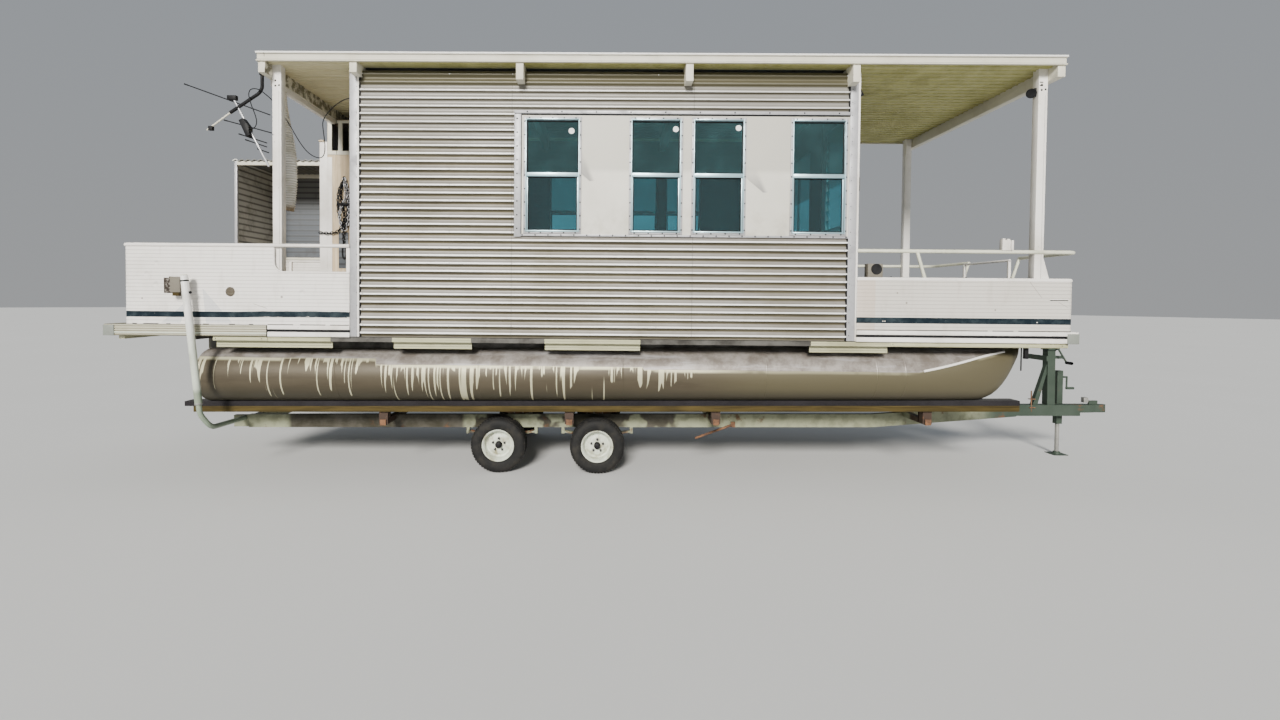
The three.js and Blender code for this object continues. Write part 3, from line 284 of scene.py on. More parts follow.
def fence_finish():
    """Thin white fluted sheet with a dark stripe that peels near the cabin, dents and scuffs."""
    f = Finish("fluted_white_sheet")
    dirt = f.step(f.noise(1.7, 5.0, 0.6), 0.42, 0.78)
    fine = f.noise(14.0, 4.0, 0.6, stretch=(1.0, 1.0, 0.25))
    # painted shade: the fore fences are a greyer white than the aft ones
    base = f.mix(f.step(f.x, at(2.0), at(2.4)), colour("paint"), (0.60, 0.57, 0.52))
    base = f.mix(dirt * 0.40, base, (0.47, 0.43, 0.36))
    base = f.mix(f.step(fine, 0.52, 0.78) * 0.30, base, (0.40, 0.36, 0.30))
    # painted shade: a dark line in each flute, which the bump also sinks
    line = f.grooves(f.z, 0.032, 0.0042)
    base = f.mix(line * 0.42, base, (0.28, 0.26, 0.22))
    # two grey-blue triangles on the starboard aft fence
    grey_triangles = []
    for x, z, steep, flat in ((-3.492, 1.692, 0.10, 0.86), (-3.600, 1.600, -1.20, -0.40)):
        dx, dz = f.off(x, z)
        left = dx + dz * steep
        right = dx + dz * flat
        grey_triangles.append(f.step(left, -0.002, 0.002) * f.step(right, 0.002, -0.002))
    below = f.step(f.z, 1.69, 1.68) * f.step(f.z, 1.380, 1.400)
    grey_triangles = f.most(grey_triangles) * below
    base = f.mix(grey_triangles * 0.50, base, (0.42, 0.45, 0.48))
    scratches = [
        f.stroke((3.650, 1.804), (3.756, 1.668), 0.003), f.spot(-2.80, 1.62, 0.012), f.spot(2.52, 1.70, 0.008)
    ]
    scratches += [f.stroke((3.90, 1.630), (3.985, 1.585), 0.0025), f.spot(2.60, 1.615, 0.010)]
    scratches += [
        f.stroke((-3.05, 1.56), (-2.93, 1.52), 0.003), f.spot(3.36, 1.56, 0.009), f.spot(-4.02, 1.60, 0.010)
    ]
    base = f.mix(f.most(scratches) * 0.75, base, (0.17, 0.14, 0.11))
    warm = f.within(f.x, at(2.175), at(2.332), 0.006) * 0.60
    base = f.mix(warm, base, (0.52, 0.42, 0.33))
    ragged = f.noise(24.0, 4.0, 0.7, stretch=(0.25, 0.25, 1.0)) * 0.016
    near_cabin = f.within(f.x, at(-3.05), at(-2.2), 0.18)
    edge = f.z - ragged * near_cabin
    peel = f.step(f.noise(17.0, 5.0, 0.7, stretch=(0.3, 0.3, 1.0)), 0.66, 0.70)
    stripe = f.within(edge, 1.438, 1.489, 0.0012)
    chips = f.most([f.spot(x, 1.456, 0.006) for x in (2.401, 2.418, 3.720)])
    stripe = stripe * (1.0 - f.math("MAXIMUM", peel, chips))
    blue = f.mix(f.step(f.noise(9.0, 5.0, 0.65), 0.4, 0.7), colour("stripe"), (0.030, 0.043, 0.050))
    # painted shadow: near-black dashes in the gap along the foot
    dashes = [f.within(f.x, at(a), at(b), 0.003) for a, b in DASHES]
    foot_gap_shadow = f.most(dashes) * f.within(f.z, 1.3760, 1.3830, 0.0008)
    f.put("Base Color", f.mix(foot_gap_shadow, f.mix(stripe, base, blue), (0.02, 0.02, 0.018)))
    f.put("Specular IOR Level", f.blend(stripe, 0.4, 0.08))
    f.put("Roughness", f.blend(f.noise(5.0, 3.0), 0.38, 0.6))
    ripple = f.noise(3.1, 2.0) * 6.0
    spots = ((-3.887, 1.906), (-3.975, 1.810), (-3.897, 1.723), (-2.62, 1.66))
    dents = f.most([f.spot(x, z, 0.030, 0.9) for x, z in spots]) * 6.0
    f.bump(ripple - dents - line, 0.0016, 0.8)
    return f


def siding_finish():
    """Corrugated aluminium with light painted on each wave: painted highlights on the crests, painted brown
    shade on the faces that look down and a beige grey base above.
    """
    f = Finish("corrugated_aluminium", metal=0.25)
    cloud = f.noise(1.4, 5.0, 0.6)
    runs = f.noise(7.0, 4.0, 0.62, stretch=(1.0, 1.0, 0.05))
    tone = f.mix(f.step(cloud, 0.35, 0.7), colour("siding"), (0.19, 0.175, 0.145))
    tone = f.mix(f.step(runs, 0.5, 0.72) * 0.35, tone, (0.16, 0.145, 0.115))
    pitch = sizes().rib_pitch
    turn = f.math("FRACT", (f.z - CREST) / pitch)
    # higher up, the painted shade band narrows, the painted crest highlight weakens and the base turns a
    # flatter grey
    high_up = f.step(f.z, 2.75, 3.2)
    # painted shade: the faces of each wave that look down are painted brown
    under = f.step(turn - high_up * 0.20, 0.34, 0.62)
    tone = f.mix(high_up * 0.6, tone, (0.27, 0.26, 0.235))
    film = f.mix(
        f.step(f.noise(3.5, 5.0, 0.65, stretch=(0.25, 1.0, 1.0)), 0.35, 0.7), (0.060, 0.050, 0.026),
        (0.13, 0.112, 0.068),
    )
    tone = f.mix(under * 0.94, tone, film)
    # painted shade: a darker line just under each crest
    lip = f.within(turn, 0.70, 0.86, 0.05)
    tone = f.mix(lip * 0.75, tone, (0.028, 0.024, 0.014))
    # painted highlight along each crest
    crest = f.math("ADD", f.step(turn, 0.86, 0.91), f.step(turn, 0.09, 0.03), clamp=True)
    crest = crest * (1.0 - high_up * 0.45)
    painted_crest_highlight = f.mix(f.step(cloud, 0.4, 0.75), (0.95, 0.95, 0.94), (0.84, 0.84, 0.81))
    tone = f.mix(crest, tone, painted_crest_highlight)
    seams = f.math(
        "MAXIMUM", f.within(f.x, at(-0.812), at(-0.808), 0.001), f.within(f.x, at(0.757), at(0.761), 0.001)
    )
    tone = f.mix(seams * 0.7, tone, (0.07, 0.065, 0.055))
    shade = f.step(f.z, 3.435, 3.485) * 0.92
    tone = f.mix(shade, tone, (0.070, 0.062, 0.030))
    # painted shade: the faces that look into the cabin are near-black
    tone = f.mix(f.indoors(), tone, (0.045, 0.038, 0.030))
    f.put("Base Color", tone)
    f.put("Roughness", f.blend(cloud, 0.36, 0.55))
    f.bump(f.noise(9.0, 3.0, stretch=(0.4, 1.0, 1.0)), 0.0035, 0.6)
    return f


def dented_finish():
    """Smooth greyish-cream skin between the windows, creased and dented, with painted shade on its folds and
    inside the cabin.
    """
    f = Finish("dented_band_skin", metal=0.1)
    cloud = f.noise(2.0, 5.0, 0.55)
    base = f.mix(f.step(f.z, 2.76, 2.70), (0.47, 0.455, 0.40), (0.62, 0.60, 0.535))
    base = f.mix(f.step(cloud, 0.35, 0.72) * 0.45, base, (0.50, 0.48, 0.41))
    low = f.step(f.z, 2.55, 2.2) * f.step(f.noise(9.0, 4.0), 0.4, 0.7)
    base = f.mix(low * 0.5, base, (0.40, 0.37, 0.30))
    folds = []
    for x, z, steep, flat, high in ((-0.134, 2.642, -1.16, -0.395, 2.93), (1.361, 2.553, -1.19, -0.45, 2.80)):
        dx, dz = f.off(x, z)
        left = dx - dz * steep
        right = dx - dz * flat
        edge = f.step(left, -0.006, 0.006) * f.step(right, 0.05, 0.0)
        folds.append(edge * (f.step(f.z, high, high - 0.25) * f.step(f.z, z - 0.002, z + 0.004)))
    fold_dent_and_shade = f.most(folds)
    # painted shade on the folds, which the bump also dents
    base = f.mix(fold_dent_and_shade * 0.9, base, (0.25, 0.245, 0.235))
    # painted shade: the faces that look into the cabin are near-black
    f.put("Base Color", f.mix(f.indoors(), base, (0.045, 0.038, 0.030)))
    f.put("Roughness", f.blend(cloud, 0.40, 0.6))
    soft = f.noise(4.2, 1.0) * 0.8 - fold_dent_and_shade
    f.bump(soft, 0.007, 0.55)
    return f


def bright_finish(name, base, rough, dirt, metal=0.7):
    """Bare metal with dull patches and fine scratches."""
    f = Finish(name, metal=metal)
    patch = f.step(f.noise(8.0, 5.0, 0.65), 0.42, 0.75)
    tone = f.mix(patch * dirt, base, [0.42 * c for c in base])
    speck = f.step(f.noise(70.0, 3.0, 0.7), 0.60, 0.68)
    tone = f.mix(speck * dirt, tone, [0.25 * c for c in base])
    f.put("Base Color", tone)
    f.put("Roughness", f.blend(patch, rough, rough + 0.25))
    f.bump(f.noise(120.0, 2.0, stretch=(1.0, 1.0, 0.1)), 0.0003, 0.5)
    return f


def pontoon_finish():
    """Aluminium above an old waterline; below it a brown film with pale runs of different length."""
    f = Finish("waterlined_pontoon", metal=0.25)
    mottle = f.noise(6.5, 6.0, 0.7)
    above = f.mix(f.step(mottle, 0.36, 0.66), (0.16, 0.138, 0.118), (0.30, 0.275, 0.25))
    grain = f.noise(9.0, 4.0, 0.65, stretch=(0.15, 1.0, 2.0))
    above = f.mix(f.step(grain, 0.5, 0.7) * 0.4, above, (0.52, 0.51, 0.53))
    film = f.mix(
        f.noise(2.4, 5.0, 0.6, stretch=(0.3, 1.0, 1.0)), (0.054, 0.043, 0.026), (0.100, 0.083, 0.056)
    )
    film = f.mix(
        f.step(f.noise(5.0, 5.0, 0.7, stretch=(0.2, 1.0, 1.5)), 0.5, 0.7) * 0.5, film, (0.045, 0.035, 0.022)
    )
    film = f.mix(f.step(f.x, at(0.6), at(1.6)) * 0.8, film, (0.105, 0.092, 0.052))
    # painted shade: the film darkens towards the keel
    film = f.mix(f.step(f.z, 0.86, 0.72), film, (0.050, 0.044, 0.028))
    level = 1.071 + f.noise(2.3, 2.0, stretch=(1.0, 0.1, 0.05)) * 0.012
    for x, fall in ((-2.03, 0.050), (0.35, 0.022)):
        level = level - f.step(f.x, at(x) - 0.01, at(x) + 0.01) * fall
    bow = 1.016 + (f.x - at(2.823)) * 0.235
    level = f.math("MAXIMUM", level, bow)
    depth = level - f.z
    below = f.step(depth, -0.003, 0.003)
    lane = f.noise(58.0, 0.0, stretch=(1.0, 0.02, 0.008))
    group = f.step(f.noise(2.1, 2.0, stretch=(1.0, 0.05, 0.0)), 0.28, 0.50)
    long = f.step(f.noise(23.0, 0.0, stretch=(1.0, 0.02, 0.0)), 0.25, 0.75)
    reach = 0.04 + group * long * 0.36
    reach = reach * f.step(f.x, at(1.2), at(-0.2))
    run = f.step(lane, 0.545, 0.59) * f.step(reach - depth, 0.0, 0.02)
    rim = f.step(depth, 0.034, 0.010) * f.step(f.noise(2.2, 3.0), 0.38, 0.50)
    edge = f.step(depth, 0.010, 0.004)
    pale = f.math("MAXIMUM", rim, edge * 0.6)
    pale = f.math("MAXIMUM", run, pale * f.blend(f.step(f.x, at(0.8), at(1.3)), 1.0, 0.35))
    film = f.mix(pale * 0.85, film, (0.56, 0.53, 0.36))
    f.put("Base Color", f.mix(below, above, film))
    f.put("Roughness", f.blend(below, f.blend(mottle, 0.32, 0.55), 0.48))
    f.bump(f.noise(3.0, 2.0) + f.noise(40.0, 3.0) * 0.1, 0.006, 0.5)
    return f


def underside_finish():
    """Underside of the roof pans: olive fore, cream aft, with mildew and darker at the joints."""
    f = Finish("roof_pan_underside")
    blotch = f.noise(4.5, 6.0, 0.7)
    spots = f.step(f.noise(32.0, 4.0, 0.7), 0.52, 0.72)
    tone = f.mix(f.step(blotch, 0.35, 0.7), (0.52, 0.50, 0.21), (0.36, 0.34, 0.12))
    tone = f.mix(spots * 0.5, tone, (0.55, 0.53, 0.36))
    joint = f.grooves(f.y, 0.0875, 0.006, 0.045)
    tone = f.mix(joint * 0.45, tone, (0.13, 0.12, 0.05))
    tone = f.mix(f.step(f.x, -2.2, -2.9), tone, f.mix(blotch, (0.80, 0.75, 0.52), (0.52, 0.46, 0.26)))
    # painted shade: the ceiling inside the cabin is dark grey
    within = f.within(f.x, at(-2.17), at(2.13), 0.01) * f.within(f.y, -1.18, 1.18, 0.01)
    tone = f.mix(within, tone, (0.13, 0.13, 0.12))
    f.put("Base Color", tone)
    f.put("Roughness", f.blend(blotch, 0.45, 0.7))
    f.bump(f.noise(25.0, 3.0), 0.001)
    return f


def glass_finish():
    f = Finish("teal_tinted_glass", rough=0.0, gloss=0.5, Transmission_Weight=1.0, IOR=1.45)
    smear = f.step(f.noise(5.0, 4.0, 0.6), 0.4, 0.8)
    tint = f.mix(smear, colour("glass"), (0.26, 0.60, 0.66))
    # painted shade: the upper panes get a darker tint
    upper = f.step(f.z, 2.690, 2.705)
    f.put("Base Color", f.mix(upper, tint, (0.11, 0.30, 0.32)))
    f.put("Transmission Weight", f.blend(upper, 0.985, f.blend(smear, 0.93, 0.87)))
    f.put("Roughness", f.blend(smear, 0.0, 0.03))
    return f


def carpet_finish(name, base, dark):
    f = Finish(name, rough=0.95, gloss=0.08, Sheen_Weight=0.05)
    loops = f.noise(260.0, 2.0)
    wear = f.step(f.noise(2.6, 5.0), 0.4, 0.75)
    tone = f.mix(f.step(loops, 0.35, 0.65), dark, base)
    f.put("Base Color", f.mix(wear * 0.35, tone, [1.5 * c for c in base]))
    f.bump(loops, 0.002, 0.8)
    return f


def wood_finish(name, light, dark, along=0):
    """Board with grain that runs along one axis."""
    f = Finish(name, rough=0.75, gloss=0.15)
    stretch = [1.0, 1.0, 1.0]
    stretch[along] = 0.06
    grain = f.noise(34.0, 5.0, 0.65, stretch=tuple(stretch), distortion=0.4)
    stain = f.step(f.noise(2.4, 4.0), 0.45, 0.75)
    tone = f.mix(f.step(grain, 0.35, 0.68), light, dark)
    f.put("Base Color", f.mix(stain * 0.5, tone, [0.55 * c for c in dark]))
    f.bump(grain, 0.0008)
    return f


def trailer_finish():
    """Steel under pale green-grey paint with brown paint and a painted shadow of the boat amidships, and rust
    at its joints.
    """
    f = Finish("trailer_steel", metal=0.1, gloss=0.2)
    tone = f.mix(f.step(f.noise(14.0, 4.0), 0.4, 0.7), (0.27, 0.285, 0.19), (0.19, 0.195, 0.125))
    # painted shadow of the boat over brown paint: dark amidships, patchy further forward
    brown = f.within(f.x, at(-3.05), at(-1.35), 0.03)
    patchy = f.within(f.x, at(-1.35), at(0.70), 0.03) * f.step(f.noise(3.0, 3.0), 0.46, 0.52)
    brown = f.math("MAXIMUM", brown, patchy)
    brown_paint_and_shadow = f.mix(f.step(f.noise(5.0, 5.0, 0.65), 0.35, 0.7), (0.035, 0.032, 0.020), (0.085, 0.078, 0.062))
    tone = f.mix(brown, tone, brown_paint_and_shadow)
    hitch = f.step(f.x, at(3.7), at(4.1))
    tone = f.mix(hitch, tone, f.mix(f.noise(6.0, 4.0), (0.026, 0.040, 0.029), (0.062, 0.082, 0.064)))
    ends = f.within(abs(f.y), 0.66, 0.98, 0.02) * f.step(f.x, at(3.6), at(3.5))
    tone = f.mix(ends, tone, (0.050, 0.032, 0.024))
    rust = f.step(f.noise(4.6, 6.0, 0.7), 0.58, 0.68) * 0.85
    reds = f.mix(f.noise(30.0, 4.0), (0.085, 0.044, 0.026), (0.17, 0.088, 0.046))
    f.put("Base Color", f.mix(rust, tone, reds))
    f.put("Roughness", f.blend(rust, 0.5, 0.88))
    f.bump(rust + f.noise(50.0, 4.0), 0.0012)
    return f


def zinc_finish():
    """Galvanised sheet with dull patches and painted light: the port sheet is painted dark as shade under its
    roof and bluish lower down, the aft end sheet lighter, and the troughs darker.
    """
    f = Finish("galvanised_sheet", metal=0.15)
    # painted shade: the port sheet is dark, grey up high and bluish lower down
    port = f.mix(f.step(f.z, 2.95, 2.60), (0.16, 0.16, 0.15), (0.095, 0.105, 0.118))
    # painted light: the aft end sheet is much lighter than the port sheet
    tone = f.mix(f.step(f.x, at(-4.14), at(-4.17)), port, (0.60, 0.60, 0.56))
    turn = f.math("FRACT", (f.z - CREST) / sizes().rib_pitch)
    # painted shade in the troughs of the corrugation
    tone = f.mix(f.within(turn, 0.55, 0.85, 0.08) * 0.7, tone, (0.040, 0.040, 0.040))
    patch = f.step(f.noise(3.2, 5.0, 0.65), 0.50, 0.64)
    tone = f.mix(patch * 0.35, tone, (0.060, 0.058, 0.055))
    f.put("Base Color", tone)
    f.put("Roughness", f.blend(patch, 0.4, 0.65))
    f.bump(f.noise(30.0, 3.0), 0.0008)
    return f


def channel_finish():
    """Underframe: cream side channels under the porches; everywhere else aluminium painted near-black for
    grime and painted shade under the deck.
    """
    f = Finish("underframe_channel", metal=0.2)
    grime = f.step(f.noise(5.0, 5.0, 0.65), 0.35, 0.7)
    # painted shade with grime: near-black wherever the underframe is not cream, inner faces included
    dark = f.mix(grime, (0.10, 0.095, 0.085), (0.035, 0.032, 0.028))
    cream = f.mix(grime, (0.56, 0.54, 0.37), (0.38, 0.36, 0.23))
    ends = f.math("MAXIMUM", f.step(f.x, at(2.44), at(2.45)), f.step(f.x, at(-2.95), at(-2.96)))
    outer = f.math("MAXIMUM", f.step(abs(f.y), 1.205, 1.210), f.step(f.x, at(-3.60), at(-3.70)))
    f.put("Base Color", f.mix(ends * outer, dark, cream))
    f.put("Roughness", f.blend(grime, 0.5, 0.8))
    f.bump(f.noise(40.0, 3.0), 0.0008)
    return f


def fluted_finish():
    """Fluted extrusion: yellowish, with painted shade as dark lines in its flutes and along both edges."""
    f = worn_paint("fluted_trim", (0.47, 0.45, 0.35), (0.27, 0.25, 0.17), 0.5, 2.0)
    # painted shade: a dark line in each flute
    line = f.grooves(f.z, 0.0208, 0.0050, 1.2925)
    tone = f.mix(line * 0.75, f.tone, (0.10, 0.09, 0.055))
    pale = f.within(f.z, 1.296, 1.308, 0.002)
    tone = f.mix(pale * 0.8, tone, (0.60, 0.66, 0.56))
    # painted shade: dark lines along both edges, under the fence and at the foot
    edge = f.math("ADD", f.step(f.z, 1.2860, 1.2835), f.step(f.z, 1.3690, 1.3715), clamp=True)
    f.put("Base Color", f.mix(edge * 0.8, tone, (0.085, 0.078, 0.045)))
    return f


def pole_finish():
    """White pipe that turns greenish lower down and grey-green at its bend."""
    f = Finish("guide_pole_pipe")
    tone = f.mix(f.step(f.z, 1.55, 1.05), (0.80, 0.79, 0.76), (0.56, 0.61, 0.52))
    tone = f.mix(f.step(f.z, 0.84, 0.78), tone, (0.22, 0.27, 0.20))
    film = f.step(f.noise(14.0, 5.0, 0.65, stretch=(1.0, 1.0, 0.3)), 0.45, 0.75)
    f.put("Base Color", f.mix(film * 0.45, tone, (0.30, 0.32, 0.24)))
    f.put("Roughness", f.blend(film, 0.35, 0.6))
    f.bump(f.noise(60.0, 3.0), 0.0005)
    return f


def mottled_finish():
    """Weathered lamp housing: dark brown with pale specks."""
    f = Finish("mottled_housing", gloss=0.15)
    speck = f.step(f.noise(46.0, 4.0, 0.7), 0.50, 0.60)
    f.put("Base Color", f.mix(speck, (0.035, 0.027, 0.022), (0.22, 0.20, 0.175)))
    f.put("Roughness", f.blend(speck, 0.6, 0.85))
    f.bump(speck, 0.0006)
    return f


def rust_finish():
    f = Finish("rusted_steel", metal=0.2)
    patch = f.noise(16.0, 6.0, 0.7)
    tone = f.mix(f.step(patch, 0.35, 0.6), (0.07, 0.038, 0.024), (0.20, 0.100, 0.052))
    f.put("Base Color", tone)
    f.put("Roughness", f.blend(patch, 0.7, 0.95))
    f.bump(f.noise(70.0, 4.0), 0.0015)
    return f


def rubber_finish():
    """Tyre rubber with grey dust on the tread and in the sidewall."""
    f = Finish("dusty_rubber", gloss=0.12)
    dust = f.step(f.noise(12.0, 5.0, 0.65), 0.4, 0.75)
    f.put("Base Color", f.mix(dust * 0.5, (0.014, 0.014, 0.014), (0.055, 0.050, 0.042)))
    f.put("Roughness", f.blend(dust, 0.62, 0.92))
    f.bump(f.noise(90.0, 3.0), 0.0006)
    return f


def plastic_finish(name, base, rough=0.5):
    """Moulded plastic with a little dust; a dark one has less gloss."""
    f = Finish(name, gloss=0.15 if max(base) < 0.2 else 0.4)
    dust = f.step(f.noise(22.0, 4.0), 0.4, 0.75)
    f.put("Base Color", f.mix(dust * 0.3, base, [0.6 * c + 0.03 for c in base]))
    f.put("Roughness", f.blend(dust, rough, min(1.0, rough + 0.25)))
    f.bump(f.noise(150.0, 2.0), 0.0003)
    return f


def hose_finish():
    """White ribbed hose with painted shade between its ribs and brown at its open end."""
    f = Finish("white_hose")
    rib_valley_shade = f.grooves(f.z, 0.0216, 0.007)
    tone = f.mix(f.step(f.noise(7.0, 4.0), 0.4, 0.7), (0.80, 0.78, 0.72), (0.62, 0.59, 0.50))
    # painted shade in the valleys between the ribs
    tone = f.mix(rib_valley_shade * 0.6, tone, (0.34, 0.30, 0.23))
    f.put("Base Color", f.mix(f.step(f.z, 2.47, 2.40), tone, (0.32, 0.24, 0.15)))
    f.bump(f.noise(60.0, 2.0), 0.0006)
    return f


def webbing_finish():
    f = Finish("woven_webbing", rough=0.9)
    weave = f.grooves(f.x, 0.004, 0.0012) * f.grooves(f.y, 0.004, 0.0012)
    f.put("Base Color", f.mix(weave, (0.035, 0.035, 0.04), (0.12, 0.12, 0.13)))
    f.bump(weave, 0.0006)
    return f


MAKERS = {
    "paint": lambda: worn_paint("weathered_white_paint", colour("paint"), (0.42, 0.38, 0.30)),
    "cream": cream_finish,
    "fence": fence_finish,
    "siding": siding_finish,
    "band": dented_finish,
    "bright": lambda: bright_finish("mill_aluminium", (0.60, 0.60, 0.62), 0.36, 0.45),
    "trim": lambda: bright_finish("anodised_trim", (0.40, 0.40, 0.415), 0.45, 0.4, 0.3),
    "sash": lambda: bright_finish("sash_aluminium", (0.36, 0.52, 0.57), 0.3, 0.25, 0.5),
    "dull": lambda: bright_finish("dull_aluminium", (0.29, 0.285, 0.265), 0.5, 0.6, 0.4),
    "zinc": zinc_finish,
    "channel": channel_finish,
    "pole": pole_finish,
    "mottled": mottled_finish,
    "fluted": fluted_finish,
    "end_cap": lambda: plastic_finish("end_casting", (0.20, 0.215, 0.19), 0.45),
    "housing": lambda: plastic_finish("horn_housing", (0.17, 0.155, 0.125), 0.6),
    "pontoon": pontoon_finish,
    "underside": underside_finish,
    "roof": lambda: worn_paint(
        "roof_sheet", (0.76, 0.75, 0.71), (0.33, 0.31, 0.25), 0.5, 0.8, dirt_share=0.7
    ),
    "glass": glass_finish,
    "carpet": lambda: carpet_finish("deck_carpet", (0.20, 0.20, 0.16), (0.10, 0.10, 0.08)),
    "bunk": lambda: carpet_finish("bunk_carpet", (0.024, 0.022, 0.024), (0.010, 0.009, 0.010)),
    "plywood": lambda: wood_finish("weathered_plywood", (0.66, 0.545, 0.38), (0.52, 0.40, 0.26), 2),
    # bunk boards: tan wood painted very dark as the shade under the boat
    "board": lambda: wood_finish("bunk_board", (0.075, 0.054, 0.016), (0.038, 0.027, 0.008), 0),
    "trailer": trailer_finish,
    "rust": rust_finish,
    # near-black; on the aluminium rivets this is painted shade that makes them show as dark dots
    "rivet": lambda: plastic_finish("dull_rivet", (0.045, 0.045, 0.047), 0.4),
    "rail": lambda: worn_paint("rail_paint", (0.66, 0.66, 0.53), (0.30, 0.31, 0.20), 0.4, 2.0),
    "riser": lambda: worn_paint("riser_paint", (0.44, 0.43, 0.27), (0.20, 0.19, 0.10), 0.6),
    "rubber": rubber_finish,
    "rim": lambda: worn_paint("rim_paint", (0.62, 0.66, 0.56), (0.24, 0.21, 0.11), 0.4, 5.0, dirt_share=0.85),
    "black": lambda: plastic_finish("black_plastic", (0.008, 0.008, 0.009)),
    "hose": hose_finish,
    "lamp": lambda: plastic_finish("lamp_lens", (0.30, 0.035, 0.02), 0.25),
    "sticker": lambda: plastic_finish("white_sticker", (0.82, 0.82, 0.80), 0.4),
    "webbing": webbing_finish,
}
FINISHES = {}


def finish(name):
    """The material of that name, made once."""
    if name not in FINISHES:
        FINISHES[name] = MAKERS[name]().material
    return FINISHES[name]


# Meshes


def placed(name, data):
    """A new object in the scene."""
    obj = bpy.data.objects.new(name, data)
    bpy.context.collection.objects.link(obj)
    return obj


def settle(obj):
    """Applies an object's modifiers to its mesh."""
    graph = bpy.context.evaluated_depsgraph_get()
    mesh = bpy.data.meshes.new_from_object(obj.evaluated_get(graph))
    obj.modifiers.clear()
    obj.data = mesh


def dress(obj, body=BASE, replaces=(), smooth=40.0):
    """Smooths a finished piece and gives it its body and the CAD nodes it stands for."""
    obj.data.shade_smooth()
    obj.data.set_sharp_from_angle(angle=radians(smooth))
    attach(obj, body)
    if replaces:
        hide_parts(*replaces)
    return obj


